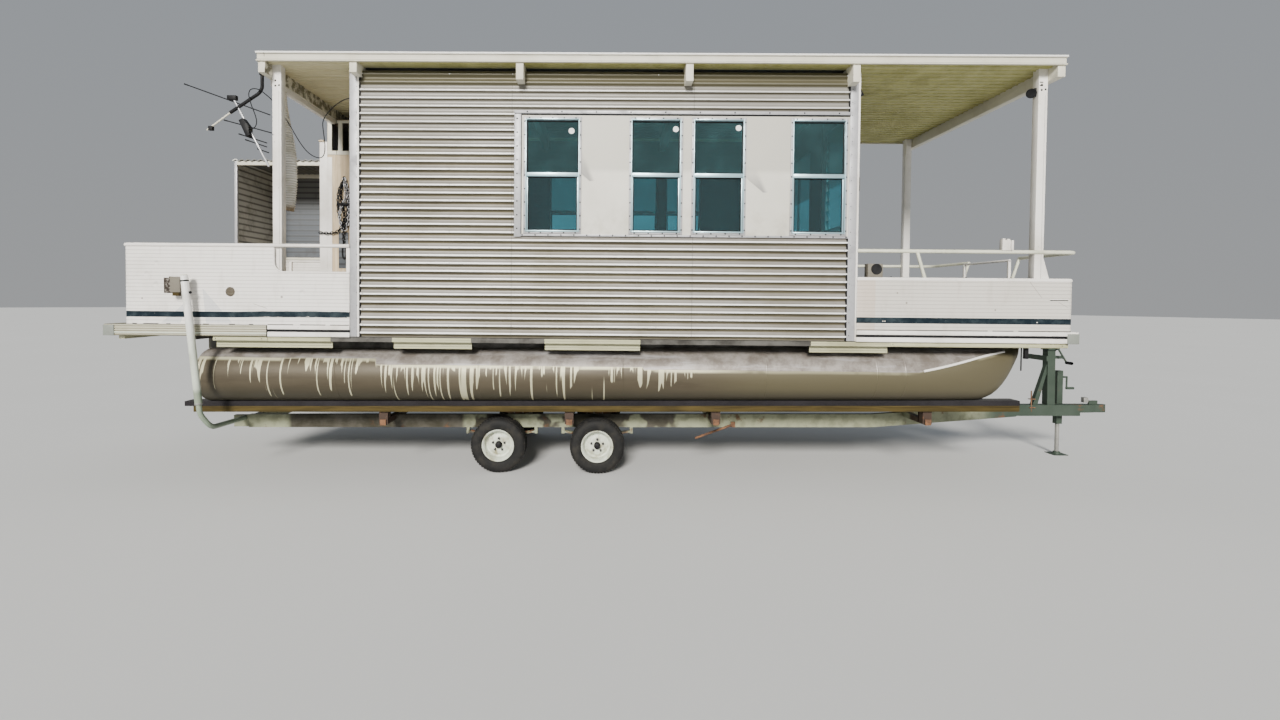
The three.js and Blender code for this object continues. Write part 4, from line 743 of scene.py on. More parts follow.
class Form:
    """A mesh built up from closed solids, each with the finish that is current when it is added."""

    def __init__(self, *finishes):
        self.bm = bmesh.new()
        self.finishes = list(finishes)
        self.index = 0

    def use(self, name):
        if name not in self.finishes:
            self.finishes.append(name)
        self.index = self.finishes.index(name)
        return self

    def face(self, corners):
        made = self.bm.faces.new(corners)
        made.material_index = self.index

    def box(self, low, high, turn=None):
        """A box along the axes; turn, where given, moves its corners."""
        corners = [(x, y, z) for x in (low[0], high[0]) for y in (low[1], high[1]) for z in (low[2], high[2])]
        v = [self.bm.verts.new(p) for p in (turn(corners) if turn else corners)]
        for q in ((0, 1, 3, 2), (4, 6, 7, 5), (0, 4, 5, 1), (2, 3, 7, 6), (0, 2, 6, 4), (1, 5, 7, 3)):
            self.face([v[i] for i in q])

    def side_box(self, side, x, near_far, z):
        """A box on one side of the boat; the middle pair is its distances off the centreline."""
        y = sorted(side * d for d in near_far)
        self.box((x[0], y[0], z[0]), (x[1], y[1], z[1]))

    def skin(self, rings, closed=False, caps=True):
        """Quads between rings of the same number of points."""
        rows = [[self.bm.verts.new(p) for p in ring] for ring in rings]
        n = len(rows[0])
        pairs = list(zip(rows, rows[1:])) + ([(rows[-1], rows[0])] if closed else [])
        for a, b in pairs:
            for i in range(n):
                self.face([a[i], a[(i + 1) % n], b[(i + 1) % n], b[i]])
        if caps and not closed:
            self.face(rows[0][::-1])
            self.face(rows[-1])

    def prism(self, axis, outline, start, end):
        """An outline extruded along an axis: (y, z) for x, (x, z) for y and (x, y) for z."""
        def point(a, b, c):
            return {"x": (c, a, b), "y": (a, c, b), "z": (a, b, c)}[axis]
        self.skin([[point(a, b, start) for a, b in outline], [point(a, b, end) for a, b in outline]])

    def tube(self, path, radius, sides=12, closed=False):
        """A round tube along a path; radius is one number or one for each point."""
        path = [Vector(p) for p in path]
        radii = radius if hasattr(radius, "__len__") else [radius] * len(path)
        last = len(path) - 1
        ways = []
        for i in range(len(path)):
            before = path[i] - path[i - 1 if i or closed else 0]
            after = path[(i + 1) % len(path) if i < last or closed else last] - path[i]
            ways.append((before.normalized() + after.normalized()).normalized())
        up = ways[0].orthogonal().normalized()
        rings = []
        for i, (p, way) in enumerate(zip(path, ways)):
            up = (up - way * up.dot(way)).normalized()
            across = way.cross(up)
            ring = []
            for k in range(sides):
                turn = 2 * pi * (k + 0.5) / sides
                ring.append(p + radii[i] * (up * cos(turn) + across * sin(turn)))
            rings.append(ring)
        self.skin(rings, closed)

    def lathe(self, centre, axis, profile, sides=32):
        """A solid of revolution; the profile holds (radius, distance along the axis) and closes on itself."""
        axis = Vector(axis).normalized()
        up = axis.orthogonal().normalized()
        across = axis.cross(up)
        centre = Vector(centre)
        columns = []
        for radius, along in profile:
            if radius < 1e-6:
                columns.append([self.bm.verts.new(centre + axis * along)] * sides)
                continue
            ring = []
            for k in range(sides):
                turn = 2 * pi * k / sides
                ring.append(
                    self.bm.verts.new(centre + axis * along + radius * (up * cos(turn) + across * sin(turn)))
                )
            columns.append(ring)
        for i in range(len(columns)):
            a, b = columns[i], columns[(i + 1) % len(columns)]
            if a[0] is a[1] and b[0] is b[1]:
                continue
            for k in range(sides):
                corners = []
                for v in (a[k], a[(k + 1) % sides], b[(k + 1) % sides], b[k]):
                    if v not in corners:
                        corners.append(v)
                self.face(corners)

    def bar(self, centre, axis, radius, start, end, sides=14):
        """A round bar along an axis, from start to end past its centre."""
        self.lathe(centre, axis, [(0, start), (radius, start), (radius, end), (0, end)], sides)

    def moulding(self, path, section, closed=False):
        """A section of (outward distance, height) along a plan path, mitred at its corners."""
        path = [Vector(p) for p in path]
        n = len(path)
        rings = []
        for i, p in enumerate(path):
            before = (p - path[i - 1]).normalized() if i or closed else (path[1] - p).normalized()
            after = (path[(i + 1) % n] - p).normalized() if i < n - 1 or closed else before
            way = Vector((before.y + after.y, -(before.x + after.x))).normalized()
            grow = 1.0 / max(0.4, way.dot(Vector((before.y, -before.x))))
            rings.append([(p.x + way.x * grow * out, p.y + way.y * grow * out, z) for out, z in section])
        self.skin(rings, closed)

    def whole(self, name):
        """The mesh so far as an object, its faces turned outwards."""
        bmesh.ops.recalc_face_normals(self.bm, faces=self.bm.faces[:])
        mesh = bpy.data.meshes.new(name)
        self.bm.to_mesh(mesh)
        self.bm.free()
        return placed(name, mesh)

    def done(self, name, body=BASE, replaces=(), bevel=0.0, smooth=40.0, carve=None):
        """The finished piece, with the form to carve taken out of it and its edges rounded."""
        obj = self.whole(name)
        for item in self.finishes:
            obj.data.materials.append(finish(item))
        if carve:
            tool = carve.whole("cutter")
            cut = obj.modifiers.new("cut", "BOOLEAN")
            cut.operation = "DIFFERENCE"
            cut.solver = "EXACT"
            cut.object = tool
            settle(obj)
            bpy.data.objects.remove(tool)
        if bevel:
            edge = obj.modifiers.new("edge", "BEVEL")
            edge.width = bevel
            edge.segments = 2
            edge.limit_method = "ANGLE"
            edge.angle_limit = radians(35.0)
            edge.harden_normals = False
            settle(obj)
        return dress(obj, body, replaces, smooth)


def smooth_path(points, steps=6):
    """A smooth line through points, as a Catmull-Rom spline."""
    p = [Vector(q) for q in points]
    made = []
    for i in range(len(p) - 1):
        a = p[i - 1] if i else p[0] * 2 - p[1]
        b, c = p[i], p[i + 1]
        d = p[i + 2] if i + 2 < len(p) else c * 2 - b
        for k in range(steps):
            t = k / steps
            made.append(
                0.5 * (
                    2 * b
                    + (c - a) * t + (2 * a - 5 * b + 4 * c - d) * t * t + (3 * b - a - 3 * c + d) * t ** 3
                )
            )
    return made + [p[-1]]


def bend(points, reach, steps=6):
    """A line of points with each inner corner rounded over that reach."""
    p = [Vector(q) for q in points]
    made = [p[0]]
    for i in range(1, len(p) - 1):
        back, on = p[i - 1] - p[i], p[i + 1] - p[i]
        r = min(reach, 0.45 * back.length, 0.45 * on.length)
        a, c = p[i] + back.normalized() * r, p[i] + on.normalized() * r
        for k in range(steps + 1):
            t = k / steps
            made.append(a * (1 - t) ** 2 + p[i] * 2 * t * (1 - t) + c * t * t)
    return made + [p[-1]]


# Geometry Nodes


class Tree:
    """A geometry node tree with named inputs, ending in Realize Instances and Set Material."""

    def __init__(self, name, inputs):
        self.group = bpy.data.node_groups.new(name, "GeometryNodeTree")
        face = self.group.interface
        face.new_socket("Geometry", in_out="INPUT", socket_type="NodeSocketGeometry")
        for key, kind, value in inputs:
            made = face.new_socket(key, in_out="INPUT", socket_type="NodeSocket" + kind)
            if value is not None:
                made.default_value = value
        face.new_socket("Finish", in_out="INPUT", socket_type="NodeSocketMaterial")
        face.new_socket("Geometry", in_out="OUTPUT", socket_type="NodeSocketGeometry")
        self.given = self.group.nodes.new("NodeGroupInput")

    def node(self, kind, links=None, **settings):
        made = self.group.nodes.new(kind)
        for key, value in settings.items():
            setattr(made, key, value)
        for key, value in (links or {}).items():
            socket = made.inputs[key]
            if isinstance(value, bpy.types.NodeSocket):
                self.group.links.new(value, socket)
            else:
                socket.default_value = value
        return made

    def value(self, name):
        return self.given.outputs[name]

    def math(self, operation, a, b=0.0):
        return self.node("ShaderNodeMath", {0: a, 1: b}, operation=operation).outputs[0]

    def end(self, geometry):
        real = self.node("GeometryNodeRealizeInstances", {"Geometry": geometry})
        dressed = self.node(
            "GeometryNodeSetMaterial", {"Geometry": real.outputs[0], "Material": self.value("Finish")}
        )
        out = self.group.nodes.new("NodeGroupOutput")
        self.group.links.new(dressed.outputs[0], out.inputs[0])
        return self.group


def rivet_tree():
    """Domed heads on the source's points, standing along the points' own out vectors."""
    t = Tree("rivet_heads", [("Radius", "Float", 0.005), ("Height", "Float", 0.002)])
    head = t.node("GeometryNodeMeshUVSphere", {"Segments": 8, "Rings": 4, "Radius": 1.0})
    size = t.node("ShaderNodeCombineXYZ", {0: t.value("Radius"), 1: t.value("Radius"), 2: t.value("Height")})
    dome = t.node("GeometryNodeTransform", {"Geometry": head.outputs[0], "Scale": size.outputs[0]})
    way = t.node("GeometryNodeInputNamedAttribute", {"Name": "out"}, data_type="FLOAT_VECTOR")
    turn = t.node("FunctionNodeAlignRotationToVector", {"Vector": way.outputs[0]}, axis="Z")
    made = t.node(
        "GeometryNodeInstanceOnPoints",
        {"Points": t.value("Geometry"), "Instance": dome.outputs[0], "Rotation": turn.outputs[0]},
    )
    return t.end(made.outputs[0])


def slat_tree():
    """A row of equal slats from a first one, each a step further and all tilted alike."""
    t = Tree(
        "slat_row",
        [
            ("Count", "Int", 8),
            ("First", "Vector", (0.0, 0.0, 0.0)),
            ("Step", "Vector", (0.0, 0.0, 0.1)),
            ("Size", "Vector", (0.1, 0.1, 0.01)),
            ("Tilt", "Vector", (0.0, 0.0, 0.0)),
        ],
    )
    line = t.node(
        "GeometryNodeMeshLine",
        {"Count": t.value("Count"), "Start Location": t.value("First"), "Offset": t.value("Step")},
    )
    slat = t.node("GeometryNodeMeshCube", {"Size": t.value("Size")})
    made = t.node(
        "GeometryNodeInstanceOnPoints",
        {"Points": line.outputs[0], "Instance": slat.outputs[0], "Rotation": t.value("Tilt")},
    )
    return t.end(made.outputs[0])


def sheet_tree():
    """A wall of corrugated sheet in the XZ plane: waves on its face, flat on its back."""
    t = Tree(
        "corrugated_sheet",
        [
            ("Length", "Float", 1.0),
            ("Height", "Float", 1.0),
            ("Bottom", "Float", 0.0),
            ("Rows", "Int", 40),
            ("Pitch", "Float", 0.0678),
            ("Depth", "Float", 0.014),
            ("Crest", "Float", CREST),
            ("Thickness", "Float", 0.04),
        ],
    )
    rows = t.value("Rows")
    grid = t.node(
        "GeometryNodeMeshGrid",
        {"Size X": t.value("Length"), "Size Y": t.value("Height"), "Vertices X": 4, "Vertices Y": rows},
    )
    place = t.node("GeometryNodeInputPosition").outputs[0]
    flat = t.node("ShaderNodeSeparateXYZ", {0: place})
    middle = t.math("ADD", t.value("Bottom"), t.math("MULTIPLY", t.value("Height"), 0.5))
    z = t.math("ADD", flat.outputs[1], middle)
    turn = t.math(
        "MULTIPLY", t.math("DIVIDE", t.math("SUBTRACT", z, t.value("Crest")), t.value("Pitch")), 2 * pi
    )
    dip = t.math("MULTIPLY", t.math("SUBTRACT", 1.0, t.math("COSINE", turn)), 0.5)
    wave = t.math("MULTIPLY", dip, t.value("Depth"))
    stand = t.node("ShaderNodeCombineXYZ", {0: flat.outputs[0], 1: wave, 2: z})
    face = t.node("GeometryNodeSetPosition", {"Geometry": grid.outputs[0], "Position": stand.outputs[0]})
    split = t.node("ShaderNodeSeparateXYZ", {0: place})
    back = t.node("ShaderNodeCombineXYZ", {1: t.math("SUBTRACT", t.value("Thickness"), split.outputs[1])})
    solid = t.node(
        "GeometryNodeExtrudeMesh", {"Mesh": face.outputs[0], "Offset": back.outputs[0], "Individual": False}
    )
    both = t.node("GeometryNodeJoinGeometry")
    t.group.links.new(solid.outputs[0], both.inputs[0])
    t.group.links.new(face.outputs[0], both.inputs[0])
    whole = t.node("GeometryNodeMergeByDistance", {"Geometry": both.outputs[0], "Distance": 0.00005})
    return t.end(whole.outputs[0])


def tread_tree():
    """Rings of tread blocks about the Y axis, each turned to face outwards."""
    t = Tree(
        "tread_ring",
        [("Count", "Int", 48), ("Radius", "Float", 0.25), ("Block", "Vector", (0.02, 0.02, 0.01))],
    )
    ring = t.node("GeometryNodeMeshCircle", {"Vertices": t.value("Count"), "Radius": t.value("Radius")})
    stood = t.node("GeometryNodeTransform", {"Geometry": ring.outputs[0], "Rotation": (pi / 2, 0.0, 0.0)})
    place = t.node("GeometryNodeInputPosition").outputs[0]
    turn = t.node("FunctionNodeAlignRotationToVector", {"Vector": place}, axis="Z", pivot_axis="Y")
    block = t.node("GeometryNodeMeshCube", {"Size": t.value("Block")})
    made = t.node(
        "GeometryNodeInstanceOnPoints",
        {"Points": stood.outputs[0], "Instance": block.outputs[0], "Rotation": turn.outputs[0]},
    )
    return t.end(made.outputs[0])


def chain_tree():
    """Links along the source's line, every other one turned a quarter."""
    t = Tree("chain_links", [("Pitch", "Float", 0.02), ("Wire", "Float", 0.0025)])
    line = t.node("GeometryNodeMeshToCurve", {"Mesh": t.value("Geometry")})
    spaced = t.node(
        "GeometryNodeResampleCurve", {"Curve": line.outputs[0], "Length": t.value("Pitch")}, mode="LENGTH"
    )
    ring = t.node("GeometryNodeCurvePrimitiveCircle", {"Resolution": 12, "Radius": 1.0})
    long = t.math("MULTIPLY", t.value("Pitch"), 0.68)
    wide = t.math("MULTIPLY", t.value("Pitch"), 0.42)
    size = t.node("ShaderNodeCombineXYZ", {0: wide, 1: wide, 2: long})
    stood = t.node("GeometryNodeTransform", {"Geometry": ring.outputs[0], "Rotation": (pi / 2, 0.0, 0.0)})
    oval = t.node("GeometryNodeTransform", {"Geometry": stood.outputs[0], "Scale": size.outputs[0]})
    wire = t.node("GeometryNodeCurvePrimitiveCircle", {"Resolution": 6, "Radius": t.value("Wire")})
    link = t.node("GeometryNodeCurveToMesh", {"Curve": oval.outputs[0], "Profile Curve": wire.outputs[0]})
    tangent = t.node("GeometryNodeInputTangent").outputs[0]
    base = t.node("FunctionNodeAlignRotationToVector", {"Vector": tangent}, axis="Z")
    odd = t.math("MODULO", t.node("GeometryNodeInputIndex").outputs[0], 2.0)
    roll = t.node("ShaderNodeCombineXYZ", {2: t.math("MULTIPLY", odd, pi / 2)})
    quarter = t.node("FunctionNodeEulerToRotation", {0: roll.outputs[0]})
    turn = t.node(
        "FunctionNodeRotateRotation", {0: base.outputs[0], 1: quarter.outputs[0]}, rotation_space="LOCAL"
    )
    made = t.node(
        "GeometryNodeInstanceOnPoints",
        {"Points": spaced.outputs[0], "Instance": link.outputs[0], "Rotation": turn.outputs[0]},
    )
    return t.end(made.outputs[0])


TREES = {}


def grown(name, maker, values, finish_name, source=None):
    """A mesh object grown by a node tree from a source mesh, with its modifier removed."""
    if maker not in TREES:
        TREES[maker] = maker()
    group = TREES[maker]
    obj = placed(name, source or bpy.data.meshes.new(name))
    mod = obj.modifiers.new("grow", "NODES")
    mod.node_group = group
    for item in group.interface.items_tree:
        if item.in_out == "INPUT" and item.name in values:
            mod[item.identifier] = values[item.name]
        if item.in_out == "INPUT" and item.name == "Finish":
            mod[item.identifier] = finish(finish_name)
    settle(obj)
    return obj


def join_all(name, objs):
    """One object of several, with their materials."""
    bm = bmesh.new()
    mesh = bpy.data.meshes.new(name)
    slots = []
    for obj in objs:
        start = len(bm.faces)
        bm.from_mesh(obj.data)
        bm.faces.ensure_lookup_table()
        own = list(obj.data.materials)
        for m in own:
            if m not in slots:
                slots.append(m)
        for f in bm.faces[start:]:
            f.material_index = slots.index(own[f.material_index])
        bpy.data.objects.remove(obj)
    bmesh.ops.recalc_face_normals(bm, faces=bm.faces[:])
    bm.to_mesh(mesh)
    bm.free()
    for m in slots:
        mesh.materials.append(m)
    return placed(name, mesh)


def rivets(name, spots, radius=0.006, height=0.003, finish_name="bright", body=BASE):
    """Rivet or screw heads at (place, outward direction) pairs."""
    mesh = bpy.data.meshes.new(name)
    mesh.from_pydata([tuple(p) for p, _ in spots], [], [])
    way = mesh.attributes.new("out", "FLOAT_VECTOR", "POINT")
    for i, (_, out) in enumerate(spots):
        way.data[i].vector = out
    obj = grown(name, rivet_tree, {"Radius": radius, "Height": height}, finish_name, mesh)
    return dress(obj, body)


def row(start, end, spacing):
    """Evenly spaced points from start to end, about that far apart."""
    a, b = Vector(start), Vector(end)
    n = max(1, round((b - a).length / spacing))
    return [a.lerp(b, i / n) for i in range(n + 1)]


def rivet_row(side, start, end, spacing):
    """Rivets on a side wall between two places, each (X, distance off the centreline, Z)."""
    a, b = ((x, side * y, z) for x, y, z in (start, end))
    return [(p, (0, side, 0)) for p in row(a, b, spacing)]


def border(a, b, c, d, grow, shrink):
    """Four strips round the opening from a to b and from c to d, outside it and over its edge."""
    return (
        (a - grow, a + shrink, c - grow, d + grow), (b - shrink, b + grow, c - grow, d + grow),
        (a, b, c - grow, c + shrink), (a, b, d - shrink, d + grow),
    )


def carry(finish_name, *nodes):
    """Gives CAD nodes that stay in view their finish."""
    for node in nodes:
        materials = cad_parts[node].data.materials
        materials.clear()
        materials.append(finish(finish_name))


# Properties


class HouseboatSizes(PropertyGroup):
    rib_pitch: FloatProperty(
        name="Rib pitch", description="Distance between the siding's crests", default=0.0678, unit="LENGTH"
    )
    rib_depth: FloatProperty(
        name="Rib depth", description="Depth of the siding's waves", default=0.014, unit="LENGTH"
    )
    rivet_spacing: FloatProperty(
        name="Rivet spacing", description="Distance between rivets of a trim", default=0.112, unit="LENGTH"
    )
    edge: FloatProperty(
        name="Edge", description="Rounding of posts, beams and boards", default=0.003, unit="LENGTH"
    )
    tread_blocks: IntProperty(name="Tread blocks", description="Blocks in one ring of tread", default=54)


class HouseboatColours(PropertyGroup):
    paint: FloatVectorProperty(
        name="Paint", description="White of fences, posts and doors", subtype="COLOR",
        default=(0.82, 0.79, 0.75),
    )
    fascia: FloatVectorProperty(
        name="Fascia", description="Cream of the roof's edge", subtype="COLOR", default=(0.68, 0.65, 0.54)
    )
    siding: FloatVectorProperty(
        name="Siding", description="Bare tone of the corrugated walls", subtype="COLOR",
        default=(0.27, 0.255, 0.235),
    )
    stripe: FloatVectorProperty(
        name="Stripe", description="Stripe along the fences", subtype="COLOR", default=(0.007, 0.014, 0.020)
    )
    glass: FloatVectorProperty(
        name="Glass", description="Tint of the window glass", subtype="COLOR", default=(0.28, 0.70, 0.78)
    )


def sizes():
    return bpy.context.scene.houseboat_sizes


# Camera, light and floor

CAMERA = {"place": (MIDDLE, -6.634, 1.6376), "yaw": -0.0090, "pitch": 0.0248, "roll": 0.0086}
VIEW = {"focal": 624.2112, "centre": (598.5659, 313.1724), "image": (1280.0, 720.0)}
HORIZON = (0.80, 0.82, 0.84, 1)
OVERHEAD = (0.62, 0.70, 0.80, 1)
FLOOR_REACH = 90.0


def add_camera():
    data = bpy.data.cameras.new("photo_camera")
    camera = placed("photo_camera", data)
    turn = Matrix.Rotation(CAMERA["pitch"], 3, "X") @ Matrix.Rotation(CAMERA["yaw"], 3, "Z")
    back = turn.transposed()
    c, s = cos(CAMERA["roll"]), sin(CAMERA["roll"])
    right, up, behind = back @ Vector((c, 0, s)), back @ Vector((-s, 0, c)), back @ Vector((0, -1, 0))
    matrix = Matrix((right, up, behind)).transposed().to_4x4()
    matrix.translation = Vector(CAMERA["place"])
    camera.matrix_world = matrix
    wide, high = VIEW["image"]
    data.sensor_width = 36.0
    data.lens = VIEW["focal"] * data.sensor_width / wide
    data.shift_x = (wide / 2 - VIEW["centre"][0]) / wide
    data.shift_y = (VIEW["centre"][1] - high / 2) / wide
    data.clip_end = 300.0
    bpy.context.scene.camera = camera


def add_light(name, kind, place, aim, energy, size, tone=(1, 1, 1)):
    data = bpy.data.lights.new(name, kind)
    data.energy = energy
    data.color = tone
    if kind == "AREA":
        data.size = size
    else:
        data.angle = size
    obj = placed(name, data)
    obj.location = place
    obj.rotation_euler = (Vector(aim) - Vector(place)).to_track_quat("-Z", "Y").to_euler()
    return obj


class HOUSEBOAT_OT_stage(Operator):
    """Camera at the photo's view, pale floor and soft light."""

    bl_idname = "houseboat.stage"
    bl_label = "Stage"

    def execute(self, context):
        add_camera()
        mesh = bpy.data.meshes.new("floor")
        turns = [k * pi / 24 for k in range(48)]
        ring = [(FLOOR_REACH * cos(turn), FLOOR_REACH * sin(turn), -0.0015) for turn in turns]
        mesh.from_pydata(ring, [], [tuple(range(48))])
        floor = placed("floor", mesh)
        f = Finish("floor_paper", rough=0.9)
        f.put("Base Color", f.mix(f.noise(0.4, 2.0), (0.62, 0.62, 0.61), (0.66, 0.66, 0.65)))
        mesh.materials.append(f.material)
        world = bpy.data.worlds.new("studio")
        world.use_nodes = True
        context.scene.world = world
        sky = world.node_tree
        back = sky.nodes["Background"]
        place = sky.nodes.new("ShaderNodeTexCoord")
        split = sky.nodes.new("ShaderNodeSeparateXYZ")
        ramp = sky.nodes.new("ShaderNodeValToRGB")
        sky.links.new(place.outputs["Generated"], split.inputs[0])
        sky.links.new(split.outputs[2], ramp.inputs[0])
        sky.links.new(ramp.outputs[0], back.inputs[0])
        for stop, position, tone in zip(ramp.color_ramp.elements, (0.0, 0.8), (HORIZON, OVERHEAD)):
            stop.position = position
            stop.color = tone
        back.inputs[1].default_value = 0.45
        sun = add_light("key_sun", "SUN", (-1.8, -12, 5.6), (0, 0, 0), 6.6, radians(14), (1.0, 0.97, 0.91))
        fill = add_light("front_fill", "AREA", (2.0, -16.0, 5.0), (-0.5, 0, 1.8), 160.0, 12.0)
        return {"FINISHED"}


# Cords: coaxial lead and ventilation hose

COAX = [
    (-3.051, -1.276, 3.060), (-3.020, -1.276, 3.062), (-2.996, -1.276, 3.090), (-2.992, -1.276, 3.132),
    (-3.008, -1.276, 3.190), (-3.032, -1.276, 3.250), (-3.048, -1.276, 3.306), (-3.058, -1.276, 3.352),
    (-3.044, -1.276, 3.390), (-3.005, -1.276, 3.400), (-2.962, -1.270, 3.388), (-2.936, -1.230, 3.366),
    (-2.916, -1.175, 3.340), (-2.895, -1.130, 3.308), (-2.862, -1.120, 3.256), (-2.829, -1.120, 3.206),
    (-2.782, -1.120, 3.128), (-2.735, -1.120, 3.048), (-2.686, -1.120, 2.970), (-2.630, -1.120, 2.902),
    (-2.568, -1.120, 2.860), (-2.515, -1.120, 2.850), (-2.484, -1.120, 2.876), (-2.474, -1.120, 2.930),
    (-2.478, -1.120, 3.006), (-2.488, -1.120, 3.086), (-2.492, -1.120, 3.162), (-2.460, -1.120, 3.228),
    (-2.412, -1.120, 3.282), (-2.360, -1.120, 3.326), (-2.300, -1.120, 3.360), (-2.246, -1.120, 3.373),
    (-2.2105, -1.120, 3.373),
]
COAX_WIDE = 0.008
DUCT = [
    (-2.930, -1.0, 3.4697), (-2.930, -1.0, 3.400), (-2.922, -1.0, 3.320), (-2.908, -1.0, 3.240),
    (-2.890, -1.0, 3.150), (-2.870, -1.0, 3.050), (-2.852, -1.0, 2.950), (-2.841, -1.0, 2.850),
    (-2.837, -1.0, 2.750), (-2.838, -1.0, 2.650), (-2.844, -1.0, 2.560), (-2.854, -1.0, 2.480),
    (-2.866, -1.0, 2.400),
]
DUCT_WIDE = 0.112


class HOUSEBOAT_OT_cords(Operator):
    """Coaxial lead from the aerial into the cabin and the ribbed hose under the roof."""

    bl_idname = "houseboat.cords"
    bl_label = "Cords"

    def execute(self, context):
        lead = smooth_path([(at(x), y, z) for x, y, z in COAX], 3)
        form = Form("black")
        form.tube(lead, COAX_WIDE / 2, 8)
        coax = form.done("coax_lead", replaces=("coax",), smooth=60)
        line = smooth_path([(at(x), y, z) for x, y, z in DUCT], 16)
        wide = DUCT_WIDE / 2
        radii = [wide - (0.008 if i % 4 in (2, 3) else 0.0) for i in range(len(line))]
        form = Form("hose")
        form.tube(line, radii, 28)
        hose = form.done("ventilation_hose", replaces=("duct",), smooth=50)
        return {"FINISHED"}


# Pontoons

PONTOON = {"aft": -3.690, "nose": 2.716, "tip": 3.790, "r": 0.2435, "y": 0.900, "bottom": 0.698, "cap": 0.090}
WELDS = (-3.600, -2.37, -1.10, 0.18, 1.45, 2.42, 2.67)
WELD = ((-0.007, 0.0004), (-0.003, 0.0022), (0.003, 0.0022), (0.007, 0.0004))  # along and out
KEEL = (3.02, 3.2, 3.4, 3.5, 3.6, 3.68, 3.74, 3.785)  # of the nose
STRAKE = ((2.823, 1.016), (3.00, 1.053), (3.19, 1.099), (3.40, 1.150), (3.598, 1.185))  # of the nose


def pontoon_ring(x, side, swell=0.0):
    """One section of a pontoon: round aft, lofted up into a wedge at the nose."""
    p = PONTOON
    r = p["r"]
    mid, top, low, wide = p["bottom"] + r, p["bottom"] + 2 * r, p["bottom"], r
    if x < p["aft"] + p["cap"]:
        share = sqrt(max(0.0, 1 - ((p["aft"] + p["cap"] - x) / (p["cap"] * 1.03)) ** 2)) ** 0.8
        wide, top, low = r * share, mid + r * share, mid - r * share
    if x > p["nose"]:
        t = (x - p["nose"]) / (p["tip"] - p["nose"])
        rise = max(0.0, (x - 3.3) / (p["tip"] - 3.3))
        low = min(top - 0.02, p["bottom"] + 0.545 * rise ** 3.3)
        wide = r * max(0.14, sqrt(max(0.0, 1 - t ** 3)))
        mid = max(low + 0.01, min(top - 0.02, p["bottom"] + r + (r - 0.06) * t * t))
    ring = []
    for k in range(48):
        a = 2 * pi * k / 48
        high = top - mid if sin(a) > 0 else mid - low
        ring.append((x, side * p["y"] + (wide + swell) * cos(a), mid + (high + swell) * sin(a)))
    return pitched(ring)


def on_pontoon(x, side, z):
    """The place on a pontoon's outboard skin at that height."""
    ring = sorted((p for p in pontoon_ring(x, side) if side * p.y > PONTOON["y"]), key=lambda p: p.z)
    for a, b in zip(ring, ring[1:]):
        if a.z <= z <= b.z:
            return a.lerp(b, (z - a.z) / (b.z - a.z))
    return ring[-1]


class HOUSEBOAT_OT_pontoons(Operator):
    """Both pontoons with their weld seams, nose seam and strake."""

    bl_idname = "houseboat.pontoons"
    bl_label = "Pontoons"

    def execute(self, context):
        p = PONTOON
        for side, name in SIDES:
            stops = [p["aft"] + p["cap"] * (1 - cos(k * pi / 16)) for k in range(8)]
            stops += [p["aft"] + p["cap"] + k * 0.32 for k in range(20)]
            stops += [p["nose"] + (p["tip"] - p["nose"]) * sin(k * pi / 48) for k in range(24)] + [p["tip"]]
            form = Form("pontoon")
            form.skin([pontoon_ring(x, side) for x in sorted(stops) if x > p["aft"] - 1e-6])
            for x in WELDS:
                form.skin([pontoon_ring(x + d, side, swell) for d, swell in WELD])
            keel = [min(pontoon_ring(x, side), key=lambda q: q.z) for x in KEEL]
            form.tube(smooth_path(keel, 4), 0.006, 8)
            strake = [on_pontoon(x, side, z) for x, z in STRAKE]
            form.use("paint").tube(smooth_path(strake, 4), 0.011, 8)
            form.done(
                "pontoon_skin_" + name, replaces=("pontoon_" + name,), smooth=50
            )
        return {"FINISHED"}


# Cabin walls

CABIN = {"aft": -2.210, "fore": 2.173, "half": 1.220, "wall": 0.040, "top": 3.583, "corner": 0.0763}
BAND = {"aft": -0.775, "bottom": 2.170, "top": 3.235}
WINDOWS = (("1", -0.706, -0.207), ("2", 0.203, 0.666), ("3", 0.740, 1.209), ("4", 1.589, 2.078))
SASH = {"bottom": 2.187, "top": 3.190, "rail": 2.696}


def corrugated(x0, x1, z0, z1, face_y, side, thick, finish_name="siding"):
    """A strip of corrugated wall between two X values with its crests at face_y."""
    s = sizes()
    rows = round((z1 - z0) / s.rib_pitch * 12) + 2
    values = {
        "Length": x1 - x0, "Height": z1 - z0, "Bottom": z0, "Rows": rows, "Pitch": s.rib_pitch,
        "Depth": s.rib_depth, "Crest": CREST, "Thickness": thick,
    }
    obj = grown("strip", sheet_tree, values, finish_name)
    place = Matrix.Translation(((x0 + x1) / 2, face_y, 0))
    obj.data.transform(place @ Matrix.Scale(-side, 4, (0, 1, 0)))
    return obj


